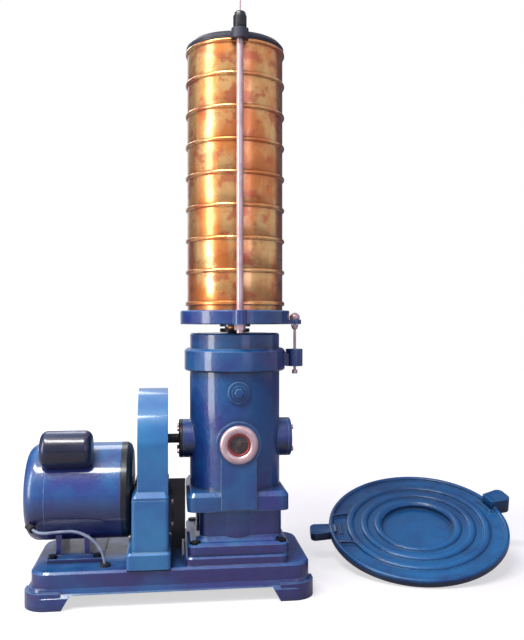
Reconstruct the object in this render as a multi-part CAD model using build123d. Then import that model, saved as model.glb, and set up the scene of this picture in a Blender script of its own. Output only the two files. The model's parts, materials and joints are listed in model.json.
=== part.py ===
from build123d import *
import os
from math import acos, atan2, cos, hypot, pi, radians, sin, tan

os.makedirs("parts", exist_ok=True)

# Sizes in mm. The spindle axis is x = 0, y = 0 while drawing and the floor is z = 0. Every piece is
# moved along x when it is written, so that the foot bolts are centred on the origin.

# Clearances
running_gap = 0.05
belt_gap = 0.2
seat_gap = 0.3
free_gap = 1.0

# Bed
bed_left = -412.0
bed_right = 146.0
bed_depth = 236.0
bed_top = 72.0
bed_wall = 12.0
bed_corner = 38.0
foot_flare = 11.0
foot_height = 24.0
foot_length = 72.0
foot_width = 56.0
arch_height = 28.0
arch_slope = 17.0
end_arch_height = 24.0
foot_hole_r = 5.1
foot_hole_depth = 28.0
foot_hole_inset_x = 29.0
foot_hole_inset_y = 23.0
column_pad_height = 17.0
cable_hole_r = 9.0
cable_hole_x = -340.0
cable_hole_z = 50.0

# Column
flange_half_x = 103.0
flange_half_y = 105.0
flange_thick = 24.0
flange_corner = 14.0
waist_left = -78.0
waist_right = 92.0
waist_half_y = 80.0
waist_height = 63.0
belly_r = 84.0
shoulder_half_x = 104.0
shoulder_half_y = 100.0
shoulder_height = 38.0
barrel_r = 96.5
chamber_r = 75.0
chamber_floor = 190.0
barrel_top = 458.0
side_boss_r = 41.0
side_boss_reach = 112.0
sight_boss_r = 46.0
sight_reach = 104.0
sight_pad_half = 36.0
filler_drop = 41.0
filler_boss_r = 22.0
filler_r = 9.0
column_bolt_r = 6.0
column_bolt_inset = 15.0

# Head
collar_r = 108.0
collar_height = 47.0
neck_r = 96.0
neck_height = 32.0
spigot_height = 10.0
cartridge_r = 42.0
cartridge_drop = 86.0
head_screw_r = 5.0
head_screw_circle = 85.75
eye_x = 130.0
eye_boss_r = 18.5
eye_bore_r = 14.0
eye_low = 465.0
eye_high = 502.0

# Bearing covers, oil sight and small screws
cover_plate = 8.0
cover_lip = 5.5
cover_screw_circle = 33.0
small_screw_r = 3.0
sight_glass_r = 24.0
sight_glass_thick = 6.0
sight_hole_r = 19.0
sight_bezel_r = 39.5
sight_window_r = 20.0
sight_bezel_thick = 8.0

# Drive
throw = 8.0
input_z = 312.0
input_journal_r = 10.0
input_core_r = 8.0
bearing_width = 14.0
bearing_r = 23.5
input_bearing_x = 92.0
driven_pitch_r = 69.0
motor_pitch_r = 27.6
belt_top_width = 13.0
belt_low_width = 8.0
belt_above_pitch = 3.0
belt_below_pitch = 5.0
belt_x = -175.0
pulley_width = 24.0
bevel_module = 2.0
gear_teeth = 40
pinion_teeth = 16
bevel_inner_share = 0.7
tap_module = 2.0
tap_pinion_teeth = 15
cam_gear_teeth = 42
tap_gear_x = 47.0
tap_gear_width = 10.0
tooth_gap = 0.26
camshaft_r = 6.0
cam_base_r = 12.0
cam_nose_r = 5.0
cam_width = 10.0
cup_r = 10.0
cup_length = 21.5

# Spindle, lifter, eccentric bush and tray bearing
spindle_bearing_r = 31.0
spindle_journal_r = 15.0
spindle_bearing_width = 16.0
spindle_shoulder_r = 17.0
push_rod_r = 4.0
crank_r = 32.0
crank_thick = 8.0
eccentric_r = 15.0
eccentric_height = 16.0
bush_wall = 3.0
bush_flange_r = 22.0
bush_flange = 4.5
tray_bearing_r = 29.0
seal_thick = 8.0
lifter_width = 12.0
lifter_half_y = 15.0
lifter_slot_half = 9.0
lifter_bar = 8.0
tap_travel = 5.0

# Tray
tray_r = 117.0
tray_skirt = 10.0
tray_floor = 6.0
tray_rim = 13.0
tray_hub_wall = 4.0
rod_boss_r = 14.0
ear_x = 130.0
ear_half = 13.0
ball_r = 11.0
guide_rod_r = 3.0
guide_rod_drop = 121.0

# Sieve stack, 200 mm sieves
sieve_count = 8
sieve_pitch = 66.4
sieve_wall_r = 101.8
sieve_wall = 1.2
bead_r = 106.0
bead_height = 9.0
skirt_r = 99.8
skirt_wall = 1.4
skirt_depth = 12.0
mesh_thick = 0.8
pan_depth = 32.0
lid_thick = 2.0

# Clamp
rod_r = 7.0
rod_tip_r = 2.0
rod_offset = 114.0
rod_tip_length = 24.0
rod_drop = 17.0
rod_nut_r = 11.5
clamp_plate_r = 104.0
clamp_plate_thick = 13.0
lug_half = 17.5
lug_root = 24.0
lug_drop = 10.2
lug_rise = 9.8
clamp_hole_r = 8.0
hand_nut_r = 13.5
hand_nut_height = 34.0

# Belt guard and bracket
guard_x0 = -204.0
guard_x1 = -143.0
guard_r = 108.0
guard_sheet = 3.0
guard_split = 207.0
guard_low_half = 118.0
guard_low_spread = 11.0
guard_base_height = 33.0
guard_base_spread = 10.0
guard_lip = 15.0
bracket_x = -113.0
bracket_thick = 6.0
bracket_rise = 14.0
bracket_y = 20.0
bracket_foot = 30.0
bracket_arm = 54.0
bracket_arm_low = 15.0
bracket_arm_high = 91.0
bracket_screw_in = 12.0
bracket_screw_edge = 14.0

# Motor
motor_y = 30.0
motor_z = 200.0
motor_r = 101.0
motor_wall = 9.0
motor_rear = -392.0
motor_front = -240.0
shield_x = -217.0
fan_cover_length = 43.0
fan_cover_round = 26.0
fan_cover_sheet = 3.0
rotor_r = 59.5
fan_hub_r = 20.0
fan_tip_gap = 25.0
fan_blade = 3.0
fan_disc = 4.0
air_gap = 0.5
core_x0 = -365.0
core_x1 = -255.0
motor_shaft_r = 9.5
motor_foot_thick = 8.0
motor_foot_x0 = -387.0
motor_foot_x1 = -276.0
motor_foot_y0 = -60.0
motor_foot_y1 = 120.0
motor_bolt_r = 5.0
motor_bolt_inset = 11.0
cap_cover_x0 = -401.0
cap_cover_x1 = -297.0
cap_cover_r = 38.0
cap_cover_wall = 4.0
cap_cover_round = 15.0
cap_cover_y = -42.0
cap_cover_z = 300.0
capacitor_r = 24.0
lead_r = 3.0
gland_r = 10.5
gland_x = -268.0
gland_y = -87.0

# Loose tray
spare_r = 207.5
spare_thick = 18.0
spare_floor = 4.0
spare_hub_r = 22.0
spare_tilt = 19.5
spare_turn = -16.0
spare_x = 440.0
spare_y = 95.0

# Worked out from the sizes above
tray_y = -throw
foot_x0 = bed_left - foot_flare - 2.0
foot_x1 = bed_right + foot_flare - 2.0
foot_y = bed_depth / 2 + foot_flare - 2.0
spindle_x = -(foot_x0 + foot_x1) / 2
flange_low = bed_top + column_pad_height
waist_low = flange_low + flange_thick
shoulder_low = waist_low + waist_height
shoulder_high = shoulder_low + shoulder_height
collar_top = barrel_top + collar_height
head_top = collar_top + neck_height
cam_z = input_z - tap_module * (tap_pinion_teeth + cam_gear_teeth) / 2
cam_nose_reach = cam_base_r + cam_nose_r
crank_low = head_top + 2.0
crank_high = crank_low + crank_thick
bush_r = eccentric_r + running_gap + bush_wall
bush_low = crank_high
tray_bearing_low = bush_low + bush_flange + 0.1
tray_bearing_high = tray_bearing_low + bearing_width - 0.1
tray_floor_low = crank_high + 19.0
tray_floor_top = tray_floor_low + tray_floor
tray_low = tray_floor_low - tray_skirt
tray_top = tray_floor_top + tray_rim
pan_top = tray_floor_top + pan_depth
stack_top = pan_top + sieve_pitch * sieve_count
plate_low = stack_top + lid_thick
ball_z = tray_floor_low + 4.0
lug_low = plate_low - lug_drop
lug_high = plate_low + lug_rise
nut_top = lug_high + hand_nut_height
rod_top = nut_top + rod_tip_length
bracket_top = guard_split + bracket_rise

fan_cover_x = motor_rear - fan_cover_length
filler_z = barrel_top - filler_drop

pieces = {}


def cyl_z(r, z0, z1, x=0.0, y=0.0):
    return Pos(x, y, (z0 + z1) / 2) * Cylinder(r, z1 - z0)


def cyl_x(r, x0, x1, y=0.0, z=0.0):
    return Pos((x0 + x1) / 2, y, z) * Rot(0, 90, 0) * Cylinder(r, x1 - x0)


def cyl_y(r, y0, y1, x=0.0, z=0.0):
    return Pos(x, (y0 + y1) / 2, z) * Rot(90, 0, 0) * Cylinder(r, y1 - y0)


def block(x0, x1, y0, y1, z0, z1):
    return Pos((x0 + x1) / 2, (y0 + y1) / 2, (z0 + z1) / 2) * Box(x1 - x0, y1 - y0, z1 - z0)


def slab(x0, x1, y0, y1, z0, z1, r, taper=0.0):
    outline = Pos((x0 + x1) / 2, (y0 + y1) / 2, z0) * RectangleRounded(x1 - x0, y1 - y0, r)
    return extrude(outline, amount=z1 - z0, taper=taper)


def turned_z(points, x=0.0, y=0.0):
    """Solid of revolution about a vertical axis, from (radius, z) corners."""
    face = make_face(Polyline([(r, 0, z) for r, z in points], close=True))
    return Pos(x, y, 0) * revolve(face, axis=Axis.Z)


def turned_x(points, y=0.0, z=0.0):
    """Solid of revolution about an axis along x, from (x, radius) corners."""
    face = make_face(Polyline([(x, r, 0) for x, r in points], close=True))
    return Pos(0, y, z) * revolve(face, axis=Axis.X)


def side_cut(points, y0, y1):
    """Prism along y from (x, z) corners."""
    face = make_face(Polyline([(x, y0, z) for x, z in points], close=True))
    return extrude(face, amount=y1 - y0, dir=(0, 1, 0))


def end_cut(points, x0, x1):
    """Prism along x from (y, z) corners."""
    face = make_face(Polyline([(x0, y, z) for y, z in points], close=True))
    return extrude(face, amount=x1 - x0, dir=(1, 0, 0))


def hex_z(r, z0, z1, x=0.0, y=0.0):
    return Pos(x, y, z0) * extrude(RegularPolygon(r, 6), amount=z1 - z0)


def hex_x(r, x0, x1, y=0.0, z=0.0):
    face = Plane.YZ * RegularPolygon(r, 6)
    return Pos(x0, y, z) * extrude(face, amount=x1 - x0, dir=(1, 0, 0))


def hex_y(r, y0, y1, x=0.0, z=0.0):
    face = Plane.XZ * RegularPolygon(r, 6)
    return Pos(x, y0, z) * extrude(face, amount=y1 - y0, dir=(0, 1, 0))


def belt_outline(x, grow):
    """Face across x around both belt pulleys, grow outside the belt's pitch line."""
    r1 = driven_pitch_r + grow
    r2 = motor_pitch_r + grow
    dy = motor_y
    dz = motor_z - input_z
    d = hypot(dy, dz)
    phi = atan2(dz, dy)
    beta = acos((r1 - r2) / d)

    def on_big(a):
        return (x, r1 * cos(a), input_z + r1 * sin(a))

    def on_small(a):
        return (x, motor_y + r2 * cos(a), motor_z + r2 * sin(a))

    edges = [
        ThreePointArc(on_big(phi + beta), on_big(phi + pi), on_big(phi - beta)),
        Line(on_big(phi - beta), on_small(phi - beta)),
        ThreePointArc(on_small(phi - beta), on_small(phi), on_small(phi + beta)),
        Line(on_small(phi + beta), on_big(phi + beta)),
    ]
    return make_face(Wire(edges))


def half_tooth(r, pitch_r, thickness):
    """Half of a tooth's angle at radius r, on an involute of 20 degrees."""
    pa = radians(20)
    base = pitch_r * cos(pa)
    a = acos(min(1.0, base / max(r, base)))
    return thickness / (2 * pitch_r) + (tan(pa) - pa) - (tan(a) - a)


def spur_x(teeth, module, x0, x1, y, z, phase):
    """Spur gear along x. phase is the direction of one tooth, in degrees from +y towards +z."""
    pitch_r = module * teeth / 2
    thickness = pi * module / 2 - tooth_gap
    radii = [pitch_r - 1.25 * module, pitch_r, pitch_r + module]
    corners = []
    for i in range(teeth):
        mid = radians(phase + 360.0 * i / teeth)
        for r in radii:
            a = mid - half_tooth(r, pitch_r, thickness)
            corners.append((x0, r * cos(a), r * sin(a)))
        for r in reversed(radii):
            a = mid + half_tooth(r, pitch_r, thickness)
            corners.append((x0, r * cos(a), r * sin(a)))
    face = make_face(Polyline(corners, close=True))
    return Pos(0, y, z) * extrude(face, amount=x1 - x0, dir=(1, 0, 0))


def bevel_teeth(teeth, delta, cone, module, inner, phase):
    """Straight bevel teeth about local z with the apex at the origin, each a prism to the apex."""
    pitch_r = cone * sin(delta)
    pitch_h = cone * cos(delta)
    flat_r = cone * tan(delta)
    thickness = pi * module / 2 - tooth_gap
    out = []
    for i in range(teeth):
        mid = radians(phase + 360.0 * i / teeth)
        ray = Vector(sin(delta) * cos(mid), sin(delta) * sin(mid), cos(delta))
        profile = []
        for side in (-1, 1):
            rise = [-1.25 * module - 0.7, 0.0, module]
            if side == 1:
                rise.reverse()
            for h in rise:
                half = half_tooth(flat_r + h, flat_r, thickness) / cos(delta)
                a = mid + side * half
                r = pitch_r + h * cos(delta)
                p = Vector(r * cos(a), r * sin(a), pitch_h - h * sin(delta))
                profile.append(p * (cone / p.dot(ray)))
        small = [p * inner for p in profile]
        n = len(profile)
        faces = [
            Face(Wire.make_polygon(profile, close=True)),
            Face(Wire.make_polygon(small, close=True)),
        ]
        for k in range(n):
            j = (k + 1) % n
            faces.append(Face(Wire.make_polygon([profile[k], profile[j], small[j], small[k]], close=True)))
        out.append(Solid(Shell(faces)))
    return out


def root_point(delta, cone, module, share):
    """Corner of the cone that the bevel teeth stand on, as (radius, height from the apex)."""
    drop = 1.25 * module
    r = cone * sin(delta) - drop * cos(delta)
    h = cone * cos(delta) + drop * sin(delta)
    return (r * share, h * share)


# Bed casting, open underneath, with a foot at each corner
half_depth = bed_depth / 2
flare_x0 = bed_left - foot_flare / 2
flare_x1 = bed_right + foot_flare / 4
bed = slab(bed_left, bed_right, -half_depth, half_depth, foot_height, bed_top - 4, bed_corner)
bed = bed + slab(bed_left, bed_right, -half_depth, half_depth, bed_top - 4, bed_top, bed_corner, taper=45)
bed = bed + slab(foot_x0, foot_x1, -foot_y, foot_y, 0, foot_height, bed_corner + 7)
bed = bed + slab(foot_x0, foot_x1, -foot_y, foot_y, foot_height, foot_height + 7, bed_corner + 7, taper=45)
bed = bed + slab(
    flare_x0, flare_x1, -half_depth - 2.5, half_depth + 2.5, foot_height + 7, foot_height + 16, bed_corner, taper=15
)
pad_half_y = flange_half_y + 7.0
bed = bed + slab(
    -flange_half_x - 6, flange_half_x - 3, -pad_half_y, pad_half_y, bed_top - 2, flange_low - 3, flange_corner
)
bed = bed + slab(
    -flange_half_x - 6, flange_half_x - 3, -pad_half_y, pad_half_y, flange_low - 3, flange_low, flange_corner, taper=40
)
bed = bed - slab(
    bed_left + bed_wall, bed_right - bed_wall, -half_depth + bed_wall, half_depth - bed_wall,
    -1, bed_top - bed_wall, bed_corner - bed_wall,
)
foot_spots = []
for sx in (-1, 1):
    for sy in (-1, 1):
        edge_x = foot_x0 if sx < 0 else foot_x1
        xs = sorted((edge_x - sx, edge_x - sx * (foot_length + 2)))
        ys = sorted((sy * (foot_y - 1), sy * (foot_y - 1 - foot_width)))
        pad = block(xs[0], xs[1], ys[0], ys[1], 0, foot_hole_depth + 6)
        bed = bed + (pad & slab(foot_x0, foot_x1, -foot_y, foot_y, 0, foot_hole_depth + 6, bed_corner + 7))
        spot_x = edge_x - sx * (foot_hole_inset_x + foot_flare)
        foot_spots.append((spot_x, sy * (half_depth - foot_hole_inset_y)))
arch_x0 = foot_x0 + foot_length + 3
arch_x1 = foot_x1 - foot_length - 17
bed = bed - side_cut(
    [(arch_x0, -1), (arch_x0 + arch_slope, arch_height), (arch_x1, arch_height), (arch_x1 + arch_slope, -1)],
    -foot_y - 5, foot_y + 5,
)
end_half = foot_y - foot_width + 1
bed = bed - end_cut(
    [(-end_half, -1), (-end_half + 14, end_arch_height), (end_half - 14, end_arch_height), (end_half, -1)],
    foot_x0 - 5, foot_x1 + 5,
)
for hx, hy in foot_spots:
    bed = bed - cyl_z(foot_hole_r, -1, foot_hole_depth, hx, hy)
bolt_x = flange_half_x - column_bolt_inset
bolt_y = flange_half_y - column_bolt_inset
column_bolt_spots = [(sx * bolt_x, sy * bolt_y) for sx in (-1, 1) for sy in (-1, 1)]
bolt_foot = bed_top - bed_wall + 6
for hx, hy in column_bolt_spots:
    bed = bed - cyl_z(column_bolt_r, bolt_foot, flange_low + 1, hx, hy)
motor_bolt_spots = [
    (x, y)
    for x in (motor_foot_x0 + motor_bolt_inset, motor_foot_x1 - motor_bolt_inset)
    for y in (motor_foot_y0 + motor_bolt_inset, motor_foot_y1 - motor_bolt_inset)
]
deck_low = bed_top - bed_wall
for hx, hy in motor_bolt_spots:
    bed = bed - cyl_z(motor_bolt_r, deck_low - 5, bed_top + 1, hx, hy)
gland_neck_r = gland_r - 3.5
bed = bed - cyl_z(gland_neck_r, deck_low - 5, bed_top + 1, gland_x, gland_y)
bracket_foot_spot = ((guard_x1 + bracket_x) / 2 + 3, bracket_y + bracket_thick + bracket_foot / 2 + 1)
bed = bed - cyl_z(small_screw_r, deck_low + 1, bed_top + 1, *bracket_foot_spot)
bed = bed - cyl_y(cable_hole_r, half_depth - bed_wall - 6, half_depth + 12, cable_hole_x, cable_hole_z)
pieces["bed"] = bed

# Gearbox column
column = slab(
    -flange_half_x, flange_half_x, -flange_half_y, flange_half_y, flange_low, waist_low - 5, flange_corner
)
column = column + slab(
    -flange_half_x, flange_half_x, -flange_half_y, flange_half_y, waist_low - 5, waist_low, flange_corner, taper=50
)
column = column + slab(
    waist_left - 9, waist_right + 5, -waist_half_y - 9, waist_half_y + 9, waist_low - 1, waist_low + 8, 24, taper=45
)
column = column + slab(
    waist_left, waist_right, -waist_half_y, waist_half_y, waist_low - 1, shoulder_low + 2, 20
)
column = column + cyl_z(belly_r, waist_low - 1, shoulder_low + 2)
column = column + slab(
    -shoulder_half_x, shoulder_half_x, -shoulder_half_y, shoulder_half_y, shoulder_low, shoulder_high - 8, 16
)
column = column + slab(
    -shoulder_half_x, shoulder_half_x, -shoulder_half_y, shoulder_half_y, shoulder_high - 8, shoulder_high, 16,
    taper=40,
)
column = column + cyl_z(barrel_r, shoulder_low + 10, barrel_top)
column = column + cyl_x(side_boss_r, -side_boss_reach, side_boss_reach, 0, input_z)
column = column + cyl_y(sight_boss_r, -sight_reach, -chamber_r + 10, 0, input_z)
column = column + block(
    -sight_pad_half, sight_pad_half, -sight_reach, -chamber_r + 10, shoulder_low + 4, input_z
)
column = column + cyl_y(filler_boss_r, -sight_reach + 3, -chamber_r + 10, 0, filler_z)
column = column - cyl_z(chamber_r, chamber_floor, barrel_top + 1)
column = column - slab(
    waist_left + 14, waist_right - 14, -waist_half_y + 14, waist_half_y - 14, flange_low - 1, shoulder_low - 6, 14
)
bearing_out = input_bearing_x + bearing_width
cup_out = chamber_r - 1 + cup_length
for s in (-1, 1):
    seat = sorted((s * input_bearing_x, s * (side_boss_reach + 1)))
    inner = sorted((s * (chamber_r - 15), s * (input_bearing_x + 2)))
    cup = sorted((s * (chamber_r - 5), s * cup_out))
    column = column - cyl_x(bearing_r, seat[0], seat[1], 0, input_z)
    column = column - cyl_x(bearing_r - 4.5, inner[0], inner[1], 0, input_z)
    column = column - cyl_x(cup_r, cup[0], cup[1], 0, cam_z)
column = column - cyl_y(sight_hole_r, -sight_reach - 1, -chamber_r + 15, 0, input_z)
glass_y = -sight_reach + sight_glass_thick
column = column - cyl_y(sight_glass_r, -sight_reach - 1, glass_y, 0, input_z)
column = column - cyl_y(filler_r, -sight_reach - 1, -chamber_r + 15, 0, filler_z)
for hx, hy in column_bolt_spots:
    column = column - cyl_z(column_bolt_r, flange_low - 1, waist_low + 1, hx, hy)
head_screw_spots = [
    (head_screw_circle * cos(radians(a)), head_screw_circle * sin(radians(a))) for a in range(30, 390, 60)
]
screw_end = barrel_top - 22
for hx, hy in head_screw_spots:
    column = column - cyl_z(head_screw_r, screw_end, barrel_top + 1, hx, hy)
cover_spots = [
    (cover_screw_circle * cos(radians(a)), input_z + cover_screw_circle * sin(radians(a)))
    for a in (45, 135, 225, 315)
]
for cy, cz in cover_spots:
    for s in (-1, 1):
        xs = sorted((s * (side_boss_reach - 10), s * (side_boss_reach + 1)))
        column = column - cyl_x(small_screw_r, xs[0], xs[1], cy, cz)
# bolt heads stand in pockets where the waist's foot is near
for hx, hy in column_bolt_spots:
    column = column - cyl_z(column_bolt_r + 5.5, waist_low - 5, waist_low + 20, hx, hy)
pieces["column"] = column

# Head casting, with the spindle's cartridge below it and the eye arm at the right
cartridge_low = barrel_top - cartridge_drop
spigot_r = chamber_r - 0.1
head = turned_z(
    [
        (spindle_shoulder_r + 3, cartridge_low), (cartridge_r, cartridge_low),
        (cartridge_r, barrel_top - spigot_height), (spigot_r, barrel_top - spigot_height), (spigot_r, barrel_top),
        (collar_r - 3, barrel_top), (collar_r, barrel_top + 3), (collar_r, collar_top - 5),
        (collar_r - 5, collar_top), (neck_r, collar_top), (neck_r, head_top - 3), (neck_r - 3, head_top),
        (spindle_shoulder_r + 3, head_top),
    ]
)
arm = block(collar_r - 28, eye_x, -12, 12, eye_low + 1, eye_high - 2)
arm = arm - side_cut(
    [(collar_r - 16, eye_high + 8), (eye_x, eye_high - 22), (eye_x + 5, eye_high + 8)], -20, 20
)
head = head + arm + cyl_z(eye_boss_r, eye_low, eye_high, eye_x, 0)
head = head - cyl_z(eye_bore_r, eye_low - 1, eye_high + 1, eye_x, 0)
upper_seat = head_top - 1 - seal_thick - spindle_bearing_width
lower_seat = cartridge_low + 2
head = head - cyl_z(spindle_bearing_r, cartridge_low - 1, lower_seat + spindle_bearing_width)
head = head - cyl_z(spindle_bearing_r, upper_seat, head_top + 1)
screw_head_low = head_top - 11
for hx, hy in head_screw_spots:
    head = head - cyl_z(head_screw_r, barrel_top - spigot_height - 1, head_top + 1, hx, hy)
    head = head - cyl_z(head_screw_r + 4, screw_head_low, head_top + 1, hx, hy)
pieces["column_head"] = head

head_screws = []
for hx, hy in head_screw_spots:
    screw = cyl_z(head_screw_r, screw_end + 1, screw_head_low, hx, hy)
    screw = screw + cyl_z(head_screw_r + 3.2, screw_head_low, screw_head_low + 9, hx, hy)
    head_screws.append(screw - hex_z(head_screw_r - 0.4, screw_head_low + 3, screw_head_low + 10, hx, hy))
pieces["head_screws"] = head_screws
pieces["column_bolts"] = [
    cyl_z(column_bolt_r, bolt_foot + 1, waist_low - 5, hx, hy) + hex_z(column_bolt_r + 4.4, waist_low - 5, waist_low + 3, hx, hy)
    for hx, hy in column_bolt_spots
]

# Bearing covers on the column's sides
lip_r = bearing_r - 5.5
cover_out = side_boss_reach + cover_plate
lip_x = side_boss_reach - cover_lip
left_cover = turned_x(
    [
        (-cover_out, input_journal_r + free_gap), (-side_boss_reach, input_journal_r + free_gap), (-lip_x, lip_r),
        (-lip_x, bearing_r), (-side_boss_reach, bearing_r), (-side_boss_reach, side_boss_r),
        (-cover_out + 2, side_boss_r), (-cover_out, side_boss_r - 2),
    ],
    0,
    input_z,
)
right_cover = turned_x(
    [
        (cover_out + 3, 0), (side_boss_reach + 3, 0), (side_boss_reach, lip_r), (lip_x, lip_r), (lip_x, bearing_r),
        (side_boss_reach, bearing_r), (side_boss_reach, side_boss_r), (cover_out - 2, side_boss_r),
        (cover_out, side_boss_r - 2), (cover_out, 24), (cover_out + 3, 20),
    ],
    0,
    input_z,
)
for cy, cz in cover_spots:
    left_cover = left_cover - cyl_x(small_screw_r, -cover_out - 1, -side_boss_reach + 1, cy, cz)
    right_cover = right_cover - cyl_x(small_screw_r, side_boss_reach - 1, cover_out + 1, cy, cz)
pieces["left_bearing_cover"] = left_cover
pieces["right_bearing_cover"] = right_cover

# Oil sight and filler
pieces["sight_glass"] = cyl_y(sight_glass_r, -sight_reach, glass_y, 0, input_z)
bezel_out = -sight_reach - sight_bezel_thick
bezel = cyl_y(sight_bezel_r, bezel_out, -sight_reach, 0, input_z)
bezel = chamfer(bezel.edges().group_by(Axis.Y)[0], sight_bezel_thick / 2.7)
bezel = bezel - cyl_y(sight_window_r, bezel_out - 1, -sight_reach + 1, 0, input_z)
bezel = chamfer(bezel.edges().filter_by(GeomType.CIRCLE).group_by(Axis.Y)[0].sort_by(SortBy.LENGTH)[0], 2.0)
pieces["sight_bezel"] = bezel
plug_y = -sight_reach + 3
pieces["filler_plug"] = (
    cyl_y(filler_r, plug_y, plug_y + 13, 0, filler_z)
    + cyl_y(filler_r + 6, plug_y - 3, plug_y, 0, filler_z)
    + hex_y(filler_r, plug_y - 9, plug_y - 3, 0, filler_z)
)

# Belt guard, in two halves on a flared base
base_top = bed_top + guard_base_height
low_x0 = guard_x0 - guard_low_spread
low_x1 = guard_x1 + 2
base_x0 = low_x0 - guard_base_spread
base_x1 = low_x1 + 4
low_half = guard_low_half
guard_low = slab(base_x0, base_x1, -low_half - 6, low_half + 6, bed_top, base_top - 4, 8)
guard_low = guard_low + slab(base_x0, base_x1, -low_half - 6, low_half + 6, base_top - 4, base_top, 8, taper=45)
guard_low = guard_low + slab(low_x0, low_x1, -low_half, low_half, base_top - 1, guard_split, 8)
guard_low = guard_low - block(
    low_x0 + guard_sheet + 1, low_x1 - guard_sheet - 1, -low_half + 4, low_half - 4, bed_top - 1, guard_split + 1
)
shaft_hole_r = motor_shaft_r + 6.5
guard_low = guard_low - cyl_x(shaft_hole_r, base_x0 - 5, belt_x - pulley_width / 2 - 3, motor_y, motor_z)
guard_low = guard_low - cyl_x(motor_r + 3, base_x0 - 1, low_x0 - 0.2, motor_y, motor_z)


def guard_shape(x0, x1, r, z0):
    return cyl_x(r, x0, x1, 0, input_z) + block(x0, x1, -r, r, z0, input_z)


guard_up = guard_shape(guard_x0, guard_x1, guard_r, guard_split)
lip_half = low_half - 1
guard_up = guard_up + slab(low_x0 + 1, low_x1, -lip_half, lip_half, guard_split, guard_split + 5, 8)
guard_up = guard_up + slab(
    low_x0 + 1, low_x1, -lip_half, lip_half, guard_split + 5, guard_split + guard_lip, 8, taper=42
)
guard_up = guard_up - guard_shape(
    guard_x0 + guard_sheet, guard_x1 - guard_sheet, guard_r - guard_sheet, guard_split - 7
)
guard_up = guard_up - block(base_x0 - 5, base_x1 + 5, -low_half - 9, low_half + 9, bed_top, guard_split)
guard_up = guard_up - cyl_x(shaft_hole_r, base_x0 - 5, belt_x - pulley_width / 2 - 3, motor_y, motor_z)
guard_up = guard_up - cyl_x(input_journal_r + 4, guard_x1 - 6, guard_x1 + 10, 0, input_z)
pieces["guard_upper"] = guard_up

bracket_back = bracket_y + bracket_thick
bracket = block(low_x1, bracket_x, bracket_y, bracket_back, bed_top, bracket_top)
bracket = bracket + block(
    low_x1, bracket_x, bracket_back - 1, bracket_back + bracket_foot, bed_top, bed_top + bracket_thick
)
bracket = bracket + block(low_x1, -shoulder_half_x - 2, bracket_y, bracket_back, flange_low + 1, bracket_top)
arm_low = base_top + bracket_arm_low
arm_high = base_top + bracket_arm_high
arm_end = bracket_y - bracket_arm
bracket = bracket + block(low_x1, low_x1 + bracket_thick - 1, arm_end, bracket_y + 1, arm_low, arm_high)
bracket = bracket - block(
    low_x1 - 1, base_x1 + 0.2, arm_end - 6, bracket_back + bracket_foot + 10, bed_top - 1, base_top + 0.2
)
bracket = bracket - cyl_z(small_screw_r, bed_top - 1, bed_top + bracket_thick + 1, *bracket_foot_spot)
screw_y = arm_end + bracket_screw_in
bracket_spots = [(screw_y, arm_low + bracket_screw_edge), (screw_y, arm_high - bracket_screw_edge)]
for by, bz in bracket_spots:
    bracket = bracket - cyl_x(small_screw_r, low_x1 - 1, low_x1 + 11, by, bz)
    guard_low = guard_low - cyl_x(small_screw_r, low_x1 - 5, low_x1 + 1, by, bz)
pieces["guard_lower"] = guard_low
pieces["guard_bracket"] = bracket

head_r = small_screw_r + 2.6
small = []
for cy, cz in cover_spots:
    shank = side_boss_reach - 8
    small.append(cyl_x(small_screw_r, shank, cover_out, cy, cz) + hex_x(head_r, cover_out, cover_out + 4, cy, cz))
    small.append(cyl_x(small_screw_r, -cover_out, -shank, cy, cz) + hex_x(head_r, -cover_out - 4, -cover_out, cy, cz))
foot_top = bed_top + bracket_thick
small.append(
    cyl_z(small_screw_r, foot_top - 16, foot_top, *bracket_foot_spot)
    + hex_z(head_r, foot_top, foot_top + 4, *bracket_foot_spot)
)
for by, bz in bracket_spots:
    small.append(
        cyl_x(small_screw_r, low_x1 - 11, low_x1 + 5, by, bz) + hex_x(head_r, low_x1 + 5, low_x1 + 9, by, bz)
    )
pieces["small_screws"] = small

# Belt and pulleys
half_top = belt_top_width / 2
half_low = belt_low_width / 2
belt = extrude(belt_outline(belt_x - half_top, belt_above_pitch), amount=belt_top_width, dir=(1, 0, 0))
belt = belt - extrude(belt_outline(belt_x - half_low, -belt_below_pitch), amount=belt_low_width, dir=(1, 0, 0))
for s in (-1, 1):
    belt = belt - loft(
        [belt_outline(belt_x + s * half_low, -belt_below_pitch), belt_outline(belt_x + s * half_top, belt_above_pitch)],
        ruled=True,
    )
pieces["v_belt"] = belt


def groove(r_out):
    depth = belt_above_pitch + belt_below_pitch + 3
    slope = (half_top - half_low) / (belt_above_pitch + belt_below_pitch)
    top = half_top + belt_gap
    low = top - slope * depth
    return [
        (belt_x + top, r_out), (belt_x + low, r_out - depth), (belt_x - low, r_out - depth), (belt_x - top, r_out)
    ]


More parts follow.
